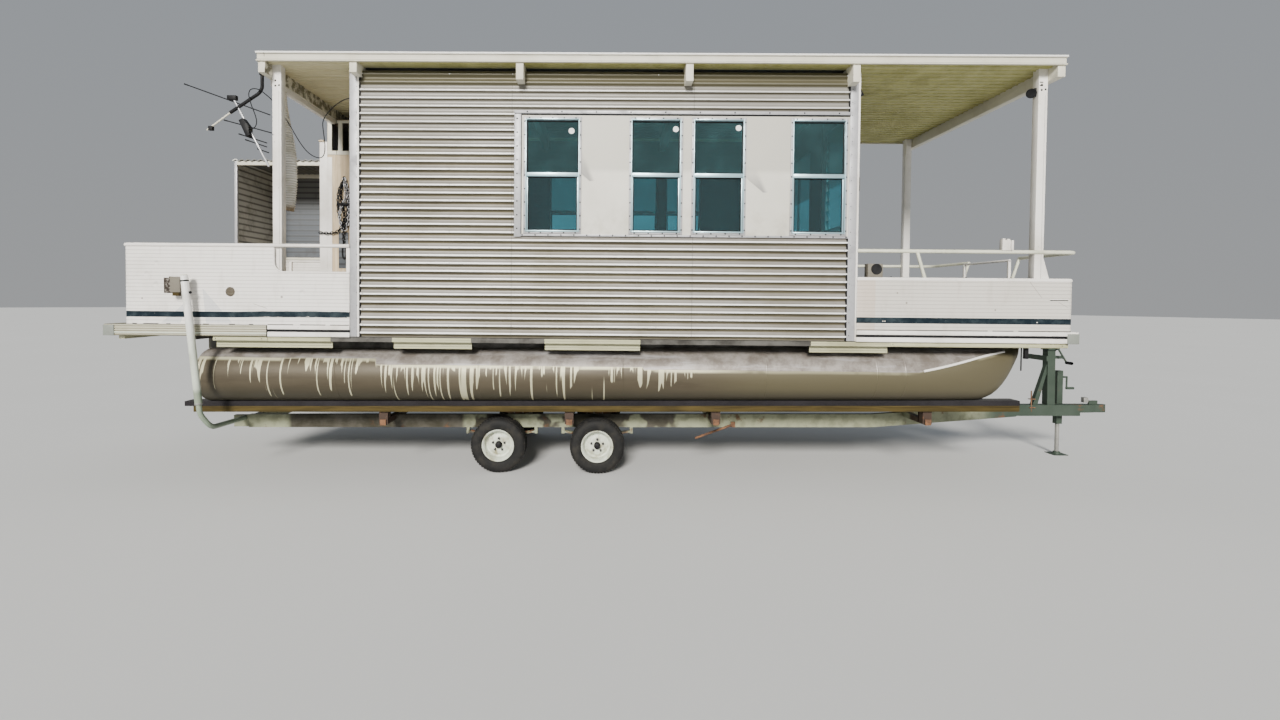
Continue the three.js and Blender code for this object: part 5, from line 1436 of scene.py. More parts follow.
class HOUSEBOAT_OT_siding(Operator):
    """Corrugated side walls, their screws and the cabin's corner trims."""

    bl_idname = "houseboat.siding"
    bl_label = "Siding"

    def execute(self, context):
        c, b = CABIN, BAND
        x0, x1 = at(c["aft"] + c["corner"]), at(c["fore"] - c["corner"])
        band = at(b["aft"])
        for side, name in SIDES:
            face = side * c["half"]
            strips = (
                (x0, band - 0.0003, 1.280, c["top"]),
                (band - 0.0003, x1, 1.280, b["bottom"] - 0.0003),
                (band - 0.0003, x1, b["top"] + 0.0003, c["top"]),
            )
            parts = [corrugated(*strip, face, side, c["wall"]) for strip in strips]
            whole = join_all("siding_" + name, parts)
            dress(whole, replaces=("cabin_wall_" + name,), smooth=60)
            spots = []
            crest = [CREST - k * sizes().rib_pitch for k in range(-2, 32)]
            for x in (x0 + 0.03, at(-1.35), band - 0.03, at(0.45), x1 - 0.03):
                for z in crest[::2]:
                    clear = x < band or z > b["top"] + 0.02 or z < b["bottom"] - 0.02
                    if 1.32 < z < 3.56 and clear:
                        spots.append(((x, side * (c["half"] + 0.0005), z), (0, side, 0)))
            rivets("siding_screws_" + name, spots, 0.005, 0.003)
            # painted shade: black strips in the gaps at the siding's ends, and black blocks in its valleys by
            # the fore trim
            form = Form("black")
            for start, end, low, high in (
                (x0, x0 + 0.012, 1.282, 3.52), (band - 0.016, band, b["bottom"], b["top"]),
                (x1 - 0.012, x1, 1.282, b["bottom"] - 0.006), (x1 - 0.012, x1, b["top"] + 0.008, 3.52),
            ):
                form.side_box(side, (start, end), (1.190, 1.2188), (low, high))
            for k in range(16):
                z = CREST - (3 + k) * sizes().rib_pitch
                form.side_box(side, (x1 - 0.012, x1 - 0.001), (1.215, 1.2215), (z - 0.044, z - 0.014))
            form.done("closure_strips_" + name)
        form = Form("trim", "paint")
        for side, _ in SIDES:
            for x, out in ((at(c["aft"]), 1), (at(c["fore"]), -1)):
                form.use("trim")
                form.side_box(
                    side, sorted((x - out * 0.002, x + out * 0.078)), (1.2235, 1.2275), (1.282, 3.583)
                )
                form.use("paint")
                lip = x + out * 0.071 if out > 0 else x - 0.004
                form.side_box(side, (lip - 0.007, lip + 0.009), (1.2275, 1.232), (1.282, 3.583))
        form.done("corner_trims", bevel=0.0012)
        spots = []
        for side, _ in SIDES:
            for x in (at(c["aft"]) + 0.060, at(c["fore"]) - 0.060):
                spots += rivet_row(side, (x, 1.2275, 1.33), (x, 1.2275, 3.55), 0.11)
        rivets("corner_rivets", spots, 0.004, 0.0025, "rivet")
        carry("band", "cabin_wall_aft", "cabin_wall_fore")
        return {"FINISHED"}


def window(form, side, x0, x1):
    """Flange, outer frame, two sashes and the meeting rail of one window; returns its rivets."""
    y = 1.230
    z0, z1, mid = SASH["bottom"], SASH["top"], SASH["rail"]

    def ring(inset, wide, near, far):
        a0, a1, b0, b1 = x0 + inset, x1 - inset, z0 + inset, z1 - inset
        form.side_box(side, (a0, a0 + wide), (near, far), (b0, b1))
        form.side_box(side, (a1 - wide, a1), (near, far), (b0, b1))
        form.side_box(side, (a0 + wide, a1 - wide), (near, far), (b0, b0 + wide))
        form.side_box(side, (a0 + wide, a1 - wide), (near, far), (b1 - wide, b1))

    form.use("trim")
    ring(0.0, 0.026, y - 0.006, y + 0.003)
    form.use("sash")
    ring(0.017, 0.008, y - 0.030, y + 0.012)
    for low, high, near, wide in ((z0 + 0.024, mid, 1.206, 0.012), (mid, z1 - 0.024, 1.214, 0.003)):
        a0, a1 = x0 + 0.024, x1 - 0.024
        form.side_box(side, (a0, a0 + wide), (near, near + 0.012), (low, high))
        form.side_box(side, (a1 - wide, a1), (near, near + 0.012), (low, high))
    form.side_box(side, (x0 + 0.024, x1 - 0.024), (1.203, 1.232), (mid - 0.016, mid + 0.018))
    form.side_box(side, (x0 + 0.024, x1 - 0.024), (1.205, 1.224), (z0 + 0.024, z0 + 0.031))
    form.side_box(side, (x0 + 0.024, x1 - 0.024), (1.210, 1.226), (z1 - 0.029, z1 - 0.024))
    form.use("black")
    panes = (
        (x0 + 0.036, x1 - 0.036, z0 + 0.031, mid - 0.016), (x0 + 0.027, x1 - 0.027, mid + 0.018, z1 - 0.029)
    )
    for a0, a1, low, high in panes:
        for a, b, c, d in (
            (a0, a0 + 0.008, low, high), (a1 - 0.008, a1, low, high),
            (a0, a1, low, low + 0.009), (a0, a1, high - 0.010, high),
        ):
            form.side_box(side, (a, b), (1.2085, 1.2160), (c, d))
    spots = []
    face, step = 1.2335, sizes().rivet_spacing
    for x in (x0 + 0.010, x1 - 0.010):
        spots += rivet_row(side, (x, face, z0 + 0.04), (x, face, z1 - 0.04), step)
    for z in (z0 + 0.010, z1 - 0.010):
        spots += rivet_row(side, (x0 + 0.05, face, z), (x1 - 0.05, face, z), step)
    return spots


class HOUSEBOAT_OT_windows(Operator):
    """Window frames with their rivets and stickers, the band's trims and the panes."""

    bl_idname = "houseboat.windows"
    bl_label = "Windows"

    def execute(self, context):
        x1 = at(CABIN["fore"] - CABIN["corner"])
        for side, name in SIDES:
            form = Form("trim", "sash", "black")
            spots = []
            for key, a, b in WINDOWS if side < 0 else WINDOWS[:3]:
                spots += window(form, side, at(a), at(b))
                carry("glass", "window_glass_%s_%s" % (name, key))
            aft, low, high = at(BAND["aft"]), BAND["bottom"], BAND["top"]
            form.use("trim")
            form.side_box(side, (aft - 0.012, aft + 0.046), (1.219, 1.228), (low - 0.010, high - 0.004))
            form.side_box(side, (aft, x1), (1.219, 1.2265), (low - 0.004, low + 0.014))
            form.side_box(side, (aft - 0.012, x1), (1.219, 1.237), (high - 0.018, high + 0.008))
            # painted shadow: a black strip under the band's top trim, and a black line in the gap beside its
            # aft trim
            form.use("black").side_box(side, (aft + 0.046, x1), (1.219, 1.2275), (high - 0.030, high - 0.018))
            form.side_box(side, (aft + 0.0465, aft + 0.0525), (1.219, 1.2275), (low + 0.014, high - 0.030))
            form.done("window_frames_" + name, bevel=0.0012)
            for start, end, spacing in (
                ((aft + 0.06, 1.2265, low + 0.006), (x1 - 0.02, 1.2265, low + 0.006), 0.112),
                ((aft + 0.012, 1.228, low + 0.06), (aft + 0.012, 1.228, high - 0.06), 0.112),
                ((aft + 0.1, 1.237, high - 0.004), (x1 - 0.1, 1.237, high - 0.004), 0.29),
            ):
                spots += rivet_row(side, start, end, spacing)
            rivets("window_rivets_" + name, spots, 0.0075, 0.003, "rivet")
            carry("band", "window_band_" + name)
        form = Form("sticker")
        for x, z in ((at(-0.295), 3.075), (at(0.604), 3.095), (at(1.144), 3.108)):
            form.bar((x, -1.2112, z), (0, -1, 0), 0.025, -0.0004, 0.0006, 28)
        form.done("window_stickers")
        carry("glass", "window_glass_fore")
        form = Form("bright")
        low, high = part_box("window_glass_fore")
        x, mid = at(CABIN["fore"]), (low[1] + high[1]) / 2
        bars = (
            *border(low[1], high[1], low[2], high[2], 0.03, 0.012), (mid - 0.02, mid + 0.02, low[2], high[2])
        )
        for y0, y1, z0, z1 in bars:
            form.box((x - 0.014, y0, z0), (x + 0.006, y1, z1))
        form.done("fore_window_frame", bevel=0.0015)
        return {"FINISHED"}


# Roof and posts

ROOF = {"aft": -2.950, "fore": 3.838, "half": 1.350, "bottom": 3.613, "top": 3.692, "panel": 3.625}
BEAMS = (
    (-2.943, -2.885, 3.520), (-2.169, -2.108, 3.524), (-0.761, -0.699, 3.470),
    (0.671, 0.733, 3.465), (2.071, 2.132, 3.466), (3.773, 3.835, 3.517),
)  # aft face, fore face and underside
FASCIA = (
    ("cream", [
        (-0.020, 3.611), (0.004, 3.611), (0.004, 3.621), (-0.003, 3.624), (-0.003, 3.668), (-0.001, 3.672),
        (0.006, 3.673), (0.007, 3.690), (-0.030, 3.692), (-0.030, 3.686), (-0.014, 3.684), (-0.016, 3.620),
        (-0.020, 3.617),
    ]),
    ("dull", [(-0.010, 3.6660), (-0.0015, 3.6660), (-0.0015, 3.6715), (-0.010, 3.6715)]),
    ("dull", [(-0.010, 3.6205), (0.0035, 3.6205), (0.0025, 3.6245), (-0.010, 3.6245)]),
    ("sticker", [(-0.002, 3.6765), (0.0078, 3.6765), (0.0078, 3.6895), (-0.002, 3.6895)]),
)  # finish and section: the fascia, its shadow line, its foot and its pale lip


class HOUSEBOAT_OT_roof(Operator):
    """Roof pans, fascia, beams and the ledger at the aft end."""

    bl_idname = "houseboat.roof"
    bl_label = "Roof"

    def execute(self, context):
        r = ROOF
        x0, x1, half = at(r["aft"]), at(r["fore"]), r["half"]
        form = Form("underside", "roof", "cream")
        form.use("underside").box(
            (x0 + 0.012, -half + 0.012, r["panel"]), (x1 - 0.012, half - 0.012, r["top"] - 0.012)
        )
        form.use("roof").box(
            (x0 + 0.004, -half + 0.004, r["top"] - 0.012), (x1 - 0.004, half - 0.004, r["top"] - 0.002)
        )
        path = [(x0, -half), (x1, -half), (x1, half), (x0, half)]
        for name, section in FASCIA:
            form.use(name).moulding(path, section, True)
        for a, b, z in BEAMS:
            form.use("cream").box((at(a), -1.336, z), (at(b), 1.336, r["panel"] + 0.002))
        form.use("paint").box((at(-2.943), -1.140, 3.470), (at(-2.900), 0.075, 3.522))
        form.done("roof_shell", replaces=("roof",), bevel=0.0018)
        for count, z, step, size, name in (
            (30, r["panel"] - 0.003, 0.0875, (x1 - x0 - 0.05, 0.016, 0.008), "underside"),
            (18, r["top"] + 0.001, 0.150, (x1 - x0 - 0.02, 0.022, 0.012), "roof"),
        ):
            first = (0.5 * (x0 + x1), -half + 0.09, z)
            values = {"Count": count, "First": first, "Step": (0, step, 0), "Size": size}
            dress(grown("roof_ribs_" + name, slat_tree, values, name))
        return {"FINISHED"}


class HOUSEBOAT_OT_posts(Operator):
    """Four porch posts with their feet, head plates and bolts."""

    bl_idname = "houseboat.posts"
    bl_label = "Posts"

    def execute(self, context):
        for end in ("aft", "fore"):
            for side, name in SIDES:
                node = "post_%s_%s" % (end, name)
                low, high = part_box(node)
                form = Form("paint")
                form.box(low, high)
                form.box(
                    (low[0] - 0.012, low[1] - 0.012, low[2]),
                    (high[0] + 0.012, high[1] + 0.012, low[2] + 0.006),
                )
                inner = low[1] if side > 0 else high[1]
                plate = sorted((inner, inner - side * 0.004))
                form.box((low[0] + 0.006, plate[0], 3.44), (high[0] - 0.006, plate[1], 3.62))
                outer = low[1] if side < 0 else high[1]
                groove = sorted((outer + side * 0.0012, outer - side * 0.004))
                form.use("dull").box(
                    (high[0] - 0.021, groove[0], low[2] + 0.01), (high[0] - 0.018, groove[1], 3.40)
                )
                if end == "fore" and side < 0:
                    self.extras(form, low, high)
                form.done("porch_" + node, replaces=(node,), bevel=sizes().edge)
                mid = 0.5 * (low[0] + high[0])
                bolts = ((-0.012, 3.49), (-0.012, 3.445), (0.02, 3.45))
                spots = [((mid + d, outer, z), (0, side, 0)) for d, z in bolts]
                spots += [((low[0] + d, outer, 1.42), (0, side, 0)) for d in (0.02, 0.056)]
                rivets("bolts_" + node, spots, 0.009, 0.004, "black")
        return {"FINISHED"}

    def extras(self, form, low, high):
        """Gusset at the post's foot, the black lamp at its head and the slots beside it."""
        y0, y1 = low[1] + 0.012, high[1] - 0.012
        foot = FORE_FENCE["top"] + FORE_FENCE["cap"] + 0.0012
        gusset = [(high[0] - 0.002, 2.050), (high[0] + 0.062, foot), (high[0] - 0.002, foot)]
        form.use("paint").prism("y", gusset, y0, y1)
        mid = (low[1] + high[1]) / 2
        form.use("black").box((low[0] - 0.016, mid - 0.012, 3.400), (low[0] + 0.002, mid + 0.012, 3.470))
        lamp = [(0, -0.030), (0.018, -0.030), (0.040, 0.012), (0.040, 0.030), (0.034, 0.030), (0, 0.020)]
        form.lathe((low[0] - 0.040, mid, 3.430), (-0.5, -1.0, -0.5), lamp, 24)
        for z in (3.505, 3.478):
            form.box((low[0] + 0.008, low[1] - 0.002, z), (low[0] + 0.036, low[1] + 0.004, z + 0.009))


# Fences, rails and gates

AFT_FENCE = {
    "end": -4.188, "from": -2.2103, "top": 2.053, "rail": 0.016, "cut": 1.835, "cut_aft": -2.868,
    "round": 0.09,
}
FORE_FENCE = {
    "end": 4.036, "from": 2.1733, "top": 1.808, "cap": 0.026, "rail": 0.0165, "rail_z": 2.061,
    "rail_end": 4.090,
}
FENCE_CAP = (
    (-0.040, 0.0), (0.003, 0.0), (0.004, 0.014), (0.0, 0.024), (-0.010, 0.027), (-0.036, 0.026),
    (-0.040, 0.018),
)  # out and up
FENCE_HALF = 1.240
FLOOR = 1.3753
BOW_HINGE = 3.994
STERN_HINGE = -4.146


def fence_line(side, start, end, gate, inset=0.0):
    """Plan line from the cabin along the side, round the corner and across to the gate."""
    out = 1 if end > start else -1
    half, x, r = FENCE_HALF - inset, end - out * inset, 0.055 - inset
    line = [(start, side * half)]
    for i in range(9):
        a = i * pi / 16
        line.append((x - out * r * (1 - sin(a)), side * (half - r * (1 - cos(a)))))
    line.append((x, gate))
    return [(at(a), b) for a, b in line]


def wall_section(low, high, thick=0.006):
    """The section of a wall of sheet that reaches inwards from its line."""
    return [(-thick, low), (0.0, low), (0.0, high), (-thick, high)]


def cut_out():
    """X and Z along the rounded edge where the starboard aft fence is cut down."""
    x0, r, z0 = at(AFT_FENCE["cut_aft"]), AFT_FENCE["round"], AFT_FENCE["cut"]
    turns = [i * pi / 16 for i in range(9)]
    return [(x0 + r * (1 - cos(a)), z0 + r * (1 - sin(a))) for a in turns]


def fence_post(form, side, x0, x1, high):
    """An inner post of a fence, from the floor up."""
    form.side_box(side, (x0, x1), (1.205, 1.2345), (FLOOR, high))


def gate_post(form, side, gate, x0, x1, high):
    """The post that a fence ends in beside its gate."""
    y0, y1 = sorted((gate, gate + side * 0.03))
    form.box((x0, y0, FLOOR), (x1, y1, high))


def fence_knuckles(form, axis, gate, x0, x1):
    """The two hinge knuckles that a gate hangs on, each with its plate from x0 to x1."""
    form.use("bright")
    for z in (1.450, 1.700):
        form.bar((axis, gate + 0.004, z), (0, 0, 1), 0.007, 0, 0.04)
        form.box((x0, gate - 0.006, z), (x1, gate + 0.004, z + 0.04))


def facing(plan):
    """The plan line turned so that a moulding's outside faces away from the boat."""
    a, b = Vector(plan[0]), Vector(plan[1])
    out = Vector((b.y - a.y, -(b.x - a.x)))
    middle = (a + b) / 2 - Vector((MIDDLE, 0))
    return plan if out.dot(middle) > 0 else plan[::-1]


class HOUSEBOAT_OT_aft_fence(Operator):
    """Aft fences with their rails, the starboard cut-out and the round hole."""

    bl_idname = "houseboat.aft_fence"
    bl_label = "Aft fence"

    def execute(self, context):
        f = AFT_FENCE
        for side, name in SIDES:
            gate = -0.850 if side < 0 else -0.150
            form = Form("fence")
            form.moulding(facing(fence_line(side, f["from"], f["end"], gate)), wall_section(FLOOR, f["top"]))
            carve = None
            if side < 0:
                carve = Form("fence")
                past, over = at(f["from"]) + 0.05, f["top"] + 0.05
                outline = [(past, over), (at(f["cut_aft"]), over), *cut_out(), (past, f["cut"])]
                carve.prism("y", outline, -1.30, -1.18)
                carve.bar((at(-3.249), -1.24, 1.662), (0, 1, 0), 0.042, -0.05, 0.05, 32)
            node = "fence_aft_" + name
            form.done("fence_skin_aft_" + name, replaces=(node,), carve=carve, smooth=30)
            form = Form("paint", "plywood", "bright")
            z = f["top"] + f["rail"] - 0.003
            rail = [(x, y, z) for x, y in fence_line(side, f["from"], f["end"], gate, 0.003)]
            form.use("paint").tube(rail, f["rail"], 16)
            for x in (-3.960, -3.420, -2.700):
                high = f["cut"] if side < 0 and x > f["cut_aft"] else f["top"]
                fence_post(form, side, at(x) - 0.015, at(x) + 0.015, high)
            cross = at(f["end"]) + 0.006
            gate_post(form, side, gate, cross, cross + 0.029, f["top"])
            fence_post(form, side, at(f["from"]) - 0.030, at(f["from"]), z)
            if side < 0:
                edge = [(at(f["cut_aft"]), f["top"] - 0.01), *cut_out(), (at(f["from"]) - 0.004, f["cut"])]
                form.tube([(x, -1.237, high) for x, high in edge], 0.009, 10)
                fence_knuckles(form, at(STERN_HINGE), gate, at(STERN_HINGE) - 0.009, at(STERN_HINGE))
            for a, b in ((-3.944, -3.436), (-3.404, -2.716)):
                start = -3.18 if side < 0 and a > -3.5 else a
                form.use("plywood").side_box(side, (at(start), at(b)), (1.229, 1.2335), (FLOOR + 0.01, 1.80))
            form.done("fence_rails_aft_" + name, bevel=0.0012, smooth=50)
        return {"FINISHED"}


class HOUSEBOAT_OT_fore_fence(Operator):
    """Fore fences with their caps, upper rails, stays, lamp bracket and horn."""

    bl_idname = "houseboat.fore_fence"
    bl_label = "Fore fence"

    def execute(self, context):
        f = FORE_FENCE
        for side, name in SIDES:
            gate = side * 0.403
            plan = facing(fence_line(side, f["from"], f["end"], gate))
            form = Form("fence", "paint", "plywood")
            form.moulding(plan, wall_section(FLOOR, f["top"] + 0.002))
            form.use("paint").moulding(plan, [(out, f["top"] + rise) for out, rise in FENCE_CAP])
            form.done(
                "fence_skin_fore_" + name, replaces=("fence_fore_" + name,), smooth=30
            )
            form = Form("paint", "bright", "rust")
            top = f["top"] + f["cap"] - 0.002
            for x in (2.210, 2.800, 3.400, 3.880):
                fence_post(form, side, at(x) - 0.015, at(x) + 0.015, f["top"] + 0.002)
            cross = at(f["end"]) - 0.006
            gate_post(form, side, gate, cross - 0.029, cross, f["top"] + 0.002)
            y, z, reach = side * 1.220, f["rail_z"], at(f["rail_end"])
            rail = [(at(f["from"]), y, z), (reach, y, z), (reach, gate + side * 0.020, z)]
            form.use("rail").tube(bend(rail, 0.150), f["rail"], 18)
            form.tube([(at(2.690), y, z), (at(2.760), y, top)], 0.014, 12)
            d = gate + side * 0.024
            form.tube([(reach, d, z), (at(f["end"]) - 0.020, d, top)], 0.014, 12)
            if side < 0:
                fence_knuckles(form, at(BOW_HINGE), gate, at(BOW_HINGE), at(BOW_HINGE) + 0.009)
                self.extras(form, z, z + f["rail"])
            form.done("fence_rails_fore_" + name, bevel=0.0012, smooth=50)
        return {"FINISHED"}

    def extras(self, form, z, top):
        """Lamp bracket on the upper rail, horn and screws on the cap, and a latch by the gate."""
        form.use("paint").box((at(3.408), -1.243, top - 0.006), (at(3.478), -1.198, z + 0.100))
        form.box((at(3.482), -1.246, top - 0.006), (at(3.502), -1.196, z + 0.098))
        form.box((at(3.412), -1.240, z + 0.096), (at(3.432), -1.200, z + 0.114))
        form.box((at(3.450), -1.240, z + 0.096), (at(3.472), -1.200, z + 0.110))
        form.use("mottled").box((at(3.476), -1.236, top - 0.004), (at(3.484), -1.204, z + 0.092))
        cap = FORE_FENCE["top"] + FORE_FENCE["cap"] + 0.0012
        form.use("housing").box((at(2.265), -1.239, cap), (at(2.392), -1.165, 1.950))
        horn = [(0, -0.01), (0.047, -0.01), (0.047, 0.003), (0.040, 0.001), (0, 0.0)]
        form.use("black").lathe((at(2.338), -1.239, 1.903), (0, -1, 0), horn, 32)
        for x in (2.471, 3.113):
            head = [(0, 0), (0.009, 0), (0.009, 0.007), (0, 0.009)]
            form.lathe((at(x), -1.222, cap - 0.002), (0, 0, 1), head, 8)
        form.box((at(3.825), -1.2412, 1.644), (at(3.981), -1.2380, 1.652))
        form.use("paint").box((at(3.825), -1.2425, 1.652), (at(3.981), -1.2380, 1.658))


class HOUSEBOAT_OT_gates(Operator):
    """Bow and stern gates on their hinges."""

    bl_idname = "houseboat.gates"
    bl_label = "Gates"

    def execute(self, context):
        for node, body, out, x, y0, y1, top, rail, pin in (
            ("gate_bow", "bow_gate", 1, 4.007, -0.395, 0.395, 1.808, 2.041, BOW_HINGE),
            ("gate_stern", "stern_gate", -1, -4.183, -0.842, -0.158, 1.993, 2.053, STERN_HINGE),
        ):
            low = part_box(node)[0][2]
            x0, x1 = at(x), at(x + 0.024)
            face = x1 - 0.006 if out > 0 else x0
            form = Form("fence", "paint", "bright")
            form.box((face, y0 + 0.004, low), (face + 0.006, y1 - 0.004, top))
            form.use("paint")
            form.box((x0, y0, low), (x1, y0 + 0.024, rail))
            form.box((x0, y1 - 0.024, low), (x1, y1, rail))
            form.box((x0, y0 + 0.024, low), (x1, y1 - 0.024, low + 0.024))
            form.box((x0, y0 + 0.024, top - 0.024), (x1, y1 - 0.024, top))
            form.tube([((x0 + x1) / 2, y0, rail), ((x0 + x1) / 2, y1, rail)], 0.012, 14)
            axis, hinge = at(pin), y0 - 0.004
            plate = sorted((axis, axis + out * 0.015))
            form.use("bright")
            for z in (1.4903, 1.7403):
                form.bar((axis, hinge, z), (0, 0, 1), 0.007, 0, 0.04)
                form.box((plate[0], hinge + 0.003, z), (plate[1], hinge + 0.009, z + 0.04))
            form.done(node + "_leaf", body, replaces=(node,), bevel=0.0012)
        return {"FINISHED"}


# Decks and underframe

GROOVE = (1.3175, 1.3375, 0.0600)  # of the edge trims: low, high and how far out
GROOVED = [
    (0.0, 1.2753), (0.063, 1.2753), (0.067, 1.279), (0.067, 1.291), (0.0645, 1.294), (0.0645, 1.315),
    (0.050, 1.3175), (0.050, 1.3375), (0.066, 1.340), (0.067, 1.345), (0.067, 1.371), (0.064, 1.375),
    (0.0, 1.375),
]  # out and up, for the porches' edge trims
TRIM_LINE = 1.1793  # from the centreline to the trims' inner face


def fluted_section():
    """Section of the trim round the stern, with four flutes."""
    section = [(0.0, 1.2753), (0.064, 1.2753), (0.067, 1.282)]
    for k in range(4):
        z = 1.287 + k * 0.021
        section += [(0.067, z), (0.0605, z + 0.004), (0.0605, z + 0.007), (0.067, z + 0.011)]
    return section + [(0.067, 1.372), (0.064, 1.375), (0.0, 1.375)]


class HOUSEBOAT_OT_decks(Operator):
    """Deck carpet, edge trims with their end castings, side channels and riser boards."""

    bl_idname = "houseboat.decks"
    bl_label = "Decks"

    def execute(self, context):
        carry("carpet", "deck_floor")
        inner = TRIM_LINE
        low, high, deep = GROOVE
        # painted shade: a black filler deep in the edge trims' groove
        groove_shade = [(0.03, low), (deep, low), (deep, high), (0.03, high)]
        stern, bow, seam = at(-4.354), at(4.073), at(-2.93)
        aft, fore = stern + 0.067, bow - 0.067
        form = Form("fluted", "paint", "dull", "black")
        form.moulding(((seam, inner), (aft, inner), (aft, -inner), (seam, -inner)), fluted_section())
        for side, _ in SIDES:
            ends = ((seam, side * inner), (at(AFT_FENCE["from"]), side * inner))[::-side]
            form.use("paint").moulding(ends, GROOVED)
            form.use("black").moulding(ends, groove_shade)
            form.side_box(side, (seam - 0.003, seam + 0.006), (1.235, 1.2475), (1.2760, 1.3745))
        form.use("end_cap")
        for side, _ in SIDES:
            form.side_box(side, (stern - 0.004, stern + 0.090), (1.150, 1.252), (1.2735, 1.366))
        form.done("edge_trim_aft_skin", replaces=("edge_trim_aft",), bevel=0.0008)
        form = Form("paint", "dull", "black")
        wall = at(FORE_FENCE["from"])
        path = ((wall, -inner), (fore, -inner), (fore, inner), (wall, inner))
        form.moulding(path, GROOVED)
        form.use("black").moulding(path, groove_shade)
        form.use("end_cap")
        for side, _ in SIDES:
            form.side_box(side, (bow - 0.095, bow + 0.004), (1.150, 1.252), (1.272, 1.360))
        form.done("edge_trim_fore_skin", replaces=("edge_trim_fore",), bevel=0.0008)
        carry("channel", "underframe")
        form = Form("riser", "fluted")
        for side, _ in SIDES:
            form.use("riser")
            for a, b in ((-3.410, -2.384), (-1.846, -1.158), (-0.517, 0.316), (1.793, 2.472)):
                for k in range(3):
                    z = 1.176 + k * 0.0205
                    form.side_box(side, (at(a), at(b)), (1.158, 1.1765 - 0.001 * (k % 2)), (z, z + 0.0185))
                for k in range(2):
                    z = 1.2355 + k * 0.0195
                    form.side_box(side, (at(a), at(b)), (1.2195, 1.2225 - 0.001 * (k % 2)), (z, z + 0.0185))
            for a, b in ((-3.412, -2.935), (2.475, 4.000)):
                form.use("riser").side_box(side, (at(a), at(b)), (1.2195, 1.2265), (1.239, 1.268))
                for x in (a + 0.022, b - 0.05):
                    head = [(0, 0), (0.005, 0), (0.004, 0.003), (0, 0.003)]
                    form.use("black").lathe((at(x), side * 1.226, 1.254), (0, side, 0), head, 8)
        form.done("riser_boards", bevel=0.001)
        return {"FINISHED"}


# Doors


class HOUSEBOAT_OT_doors(Operator):
    """Both cabin doors: skin, frame, louvred light, handle and hinges."""

    bl_idname = "houseboat.doors"
    bl_label = "Doors"

    def execute(self, context):
        for node, body, out, y0 in (
            ("door_fore", "fore_door", 1, -1.114), ("door_aft", "aft_door", -1, -0.754)
        ):
            y1 = y0 + 0.688
            x0, x1 = (at(2.135), at(2.171)) if out > 0 else (at(-2.208), at(-2.172))
            z0, z1 = 1.392, 3.394
            left, right, sill, head = y0 + 0.110, y1 - 0.110, 2.300, 3.250
            form = Form("paint", "bright", "black")
            for a, b, c, d in (
                (y0, left, z0, z1), (right, y1, z0, z1), (left, right, z0, sill), (left, right, head, z1),
            ):
                form.box((x0, a, c), (x1, b, d))
            form.use("bright")
            for x in (x0 - 0.003, x1 - 0.004):
                for a, b, c, d in border(left, right, sill, head, 0.025, 0.008):
                    form.box((x, a, c), (x + 0.007, b, d))
            face = x1 if out > 0 else x0
            self.handle(form.use("black"), face, out, y0 + 0.045)
            axis, hinge = face + out * 0.008, y1 + 0.003
            plate = sorted((face - out * 0.002, face + out * 0.008))
            form.use("bright")
            for z in (1.6403, 2.4203, 3.2003):
                form.bar((axis, hinge, z), (0, 0, 1), 0.005, 0, 0.04, 12)
                form.box((plate[0], hinge - 0.009, z), (plate[1], hinge - 0.001, z + 0.04))
            form.done(node + "_leaf", body, replaces=(node,), bevel=0.0015)
            values = {
                "Count": 10, "First": ((x0 + x1) / 2, (y0 + y1) / 2, 2.352), "Step": (0, 0, 0.094),
                "Size": (0.006, right - left, 0.092), "Tilt": (0, out * -0.28, 0),
            }
            dress(grown(node + "_louvres", slat_tree, values, "glass"), body)
        form = Form("black")
        x = at(CABIN["fore"])
        form.box((x - 0.002, -1.130, 3.425), (x + 0.020, -1.070, 3.495))
        shade = [(0, -0.030), (0.020, -0.030), (0.032, 0.030), (0, 0.030)]
        form.lathe((x + 0.045, -1.100, 3.450), (0.3, 0, -1), shade, 20)
        form.done("porch_lamp")
        return {"FINISHED"}

    def handle(self, form, face, out, y):
        """Latch plate with its spindle and grip; the fore door has a bolt above it too."""
        plate, grip, bolt = (
            sorted((face + out * near, face + out * far))
            for near, far in ((-0.002, 0.012), (0.048, 0.066), (-0.002, 0.074))
        )
        form.box((plate[0], y - 0.022, 2.330), (plate[1], y + 0.022, 2.500))
        form.tube([(face, y, 2.415), (face + out * 0.060, y, 2.415)], 0.012, 14)
        form.box((grip[0], y - 0.014, 2.360), (grip[1], y + 0.014, 2.470))
        if out > 0:
            form.box((bolt[0], y - 0.012, 2.610), (bolt[1], y + 0.002, 2.640))
            form.box((bolt[1] - 0.020, y - 0.012, 2.600), (bolt[1], y + 0.006, 2.720))


# Closet and lean-to

CHAIN = (
    ("rivet", [
        (-2.80, 2.89), (-2.86, 2.75), (-2.865, 2.55), (-2.83, 2.40), (-2.79, 2.38), (-2.765, 2.55),
        (-2.765, 2.75), (-2.80, 2.89),
    ]),
    ("black", [
        (-2.80, 2.89), (-2.835, 2.72), (-2.80, 2.52), (-2.81, 2.36), (-2.75, 2.42), (-2.74, 2.62),
        (-2.77, 2.80), (-2.80, 2.89),
    ]),
    ("bright", [
        (-2.80, 2.88), (-2.78, 2.70), (-2.83, 2.58), (-2.845, 2.45), (-2.80, 2.33), (-2.75, 2.45),
        (-2.75, 2.72), (-2.79, 2.88),
    ]),
    ("black", [(-2.80, 2.42), (-2.86, 2.33), (-2.95, 2.305), (-3.05, 2.31)]),
    ("black", [(-2.80, 2.36), (-2.805, 2.27), (-2.80, 2.18)]),
)  # finish and line of each length, in X and Z
HOOK = -2.80  # X of the hook that the chain hangs on


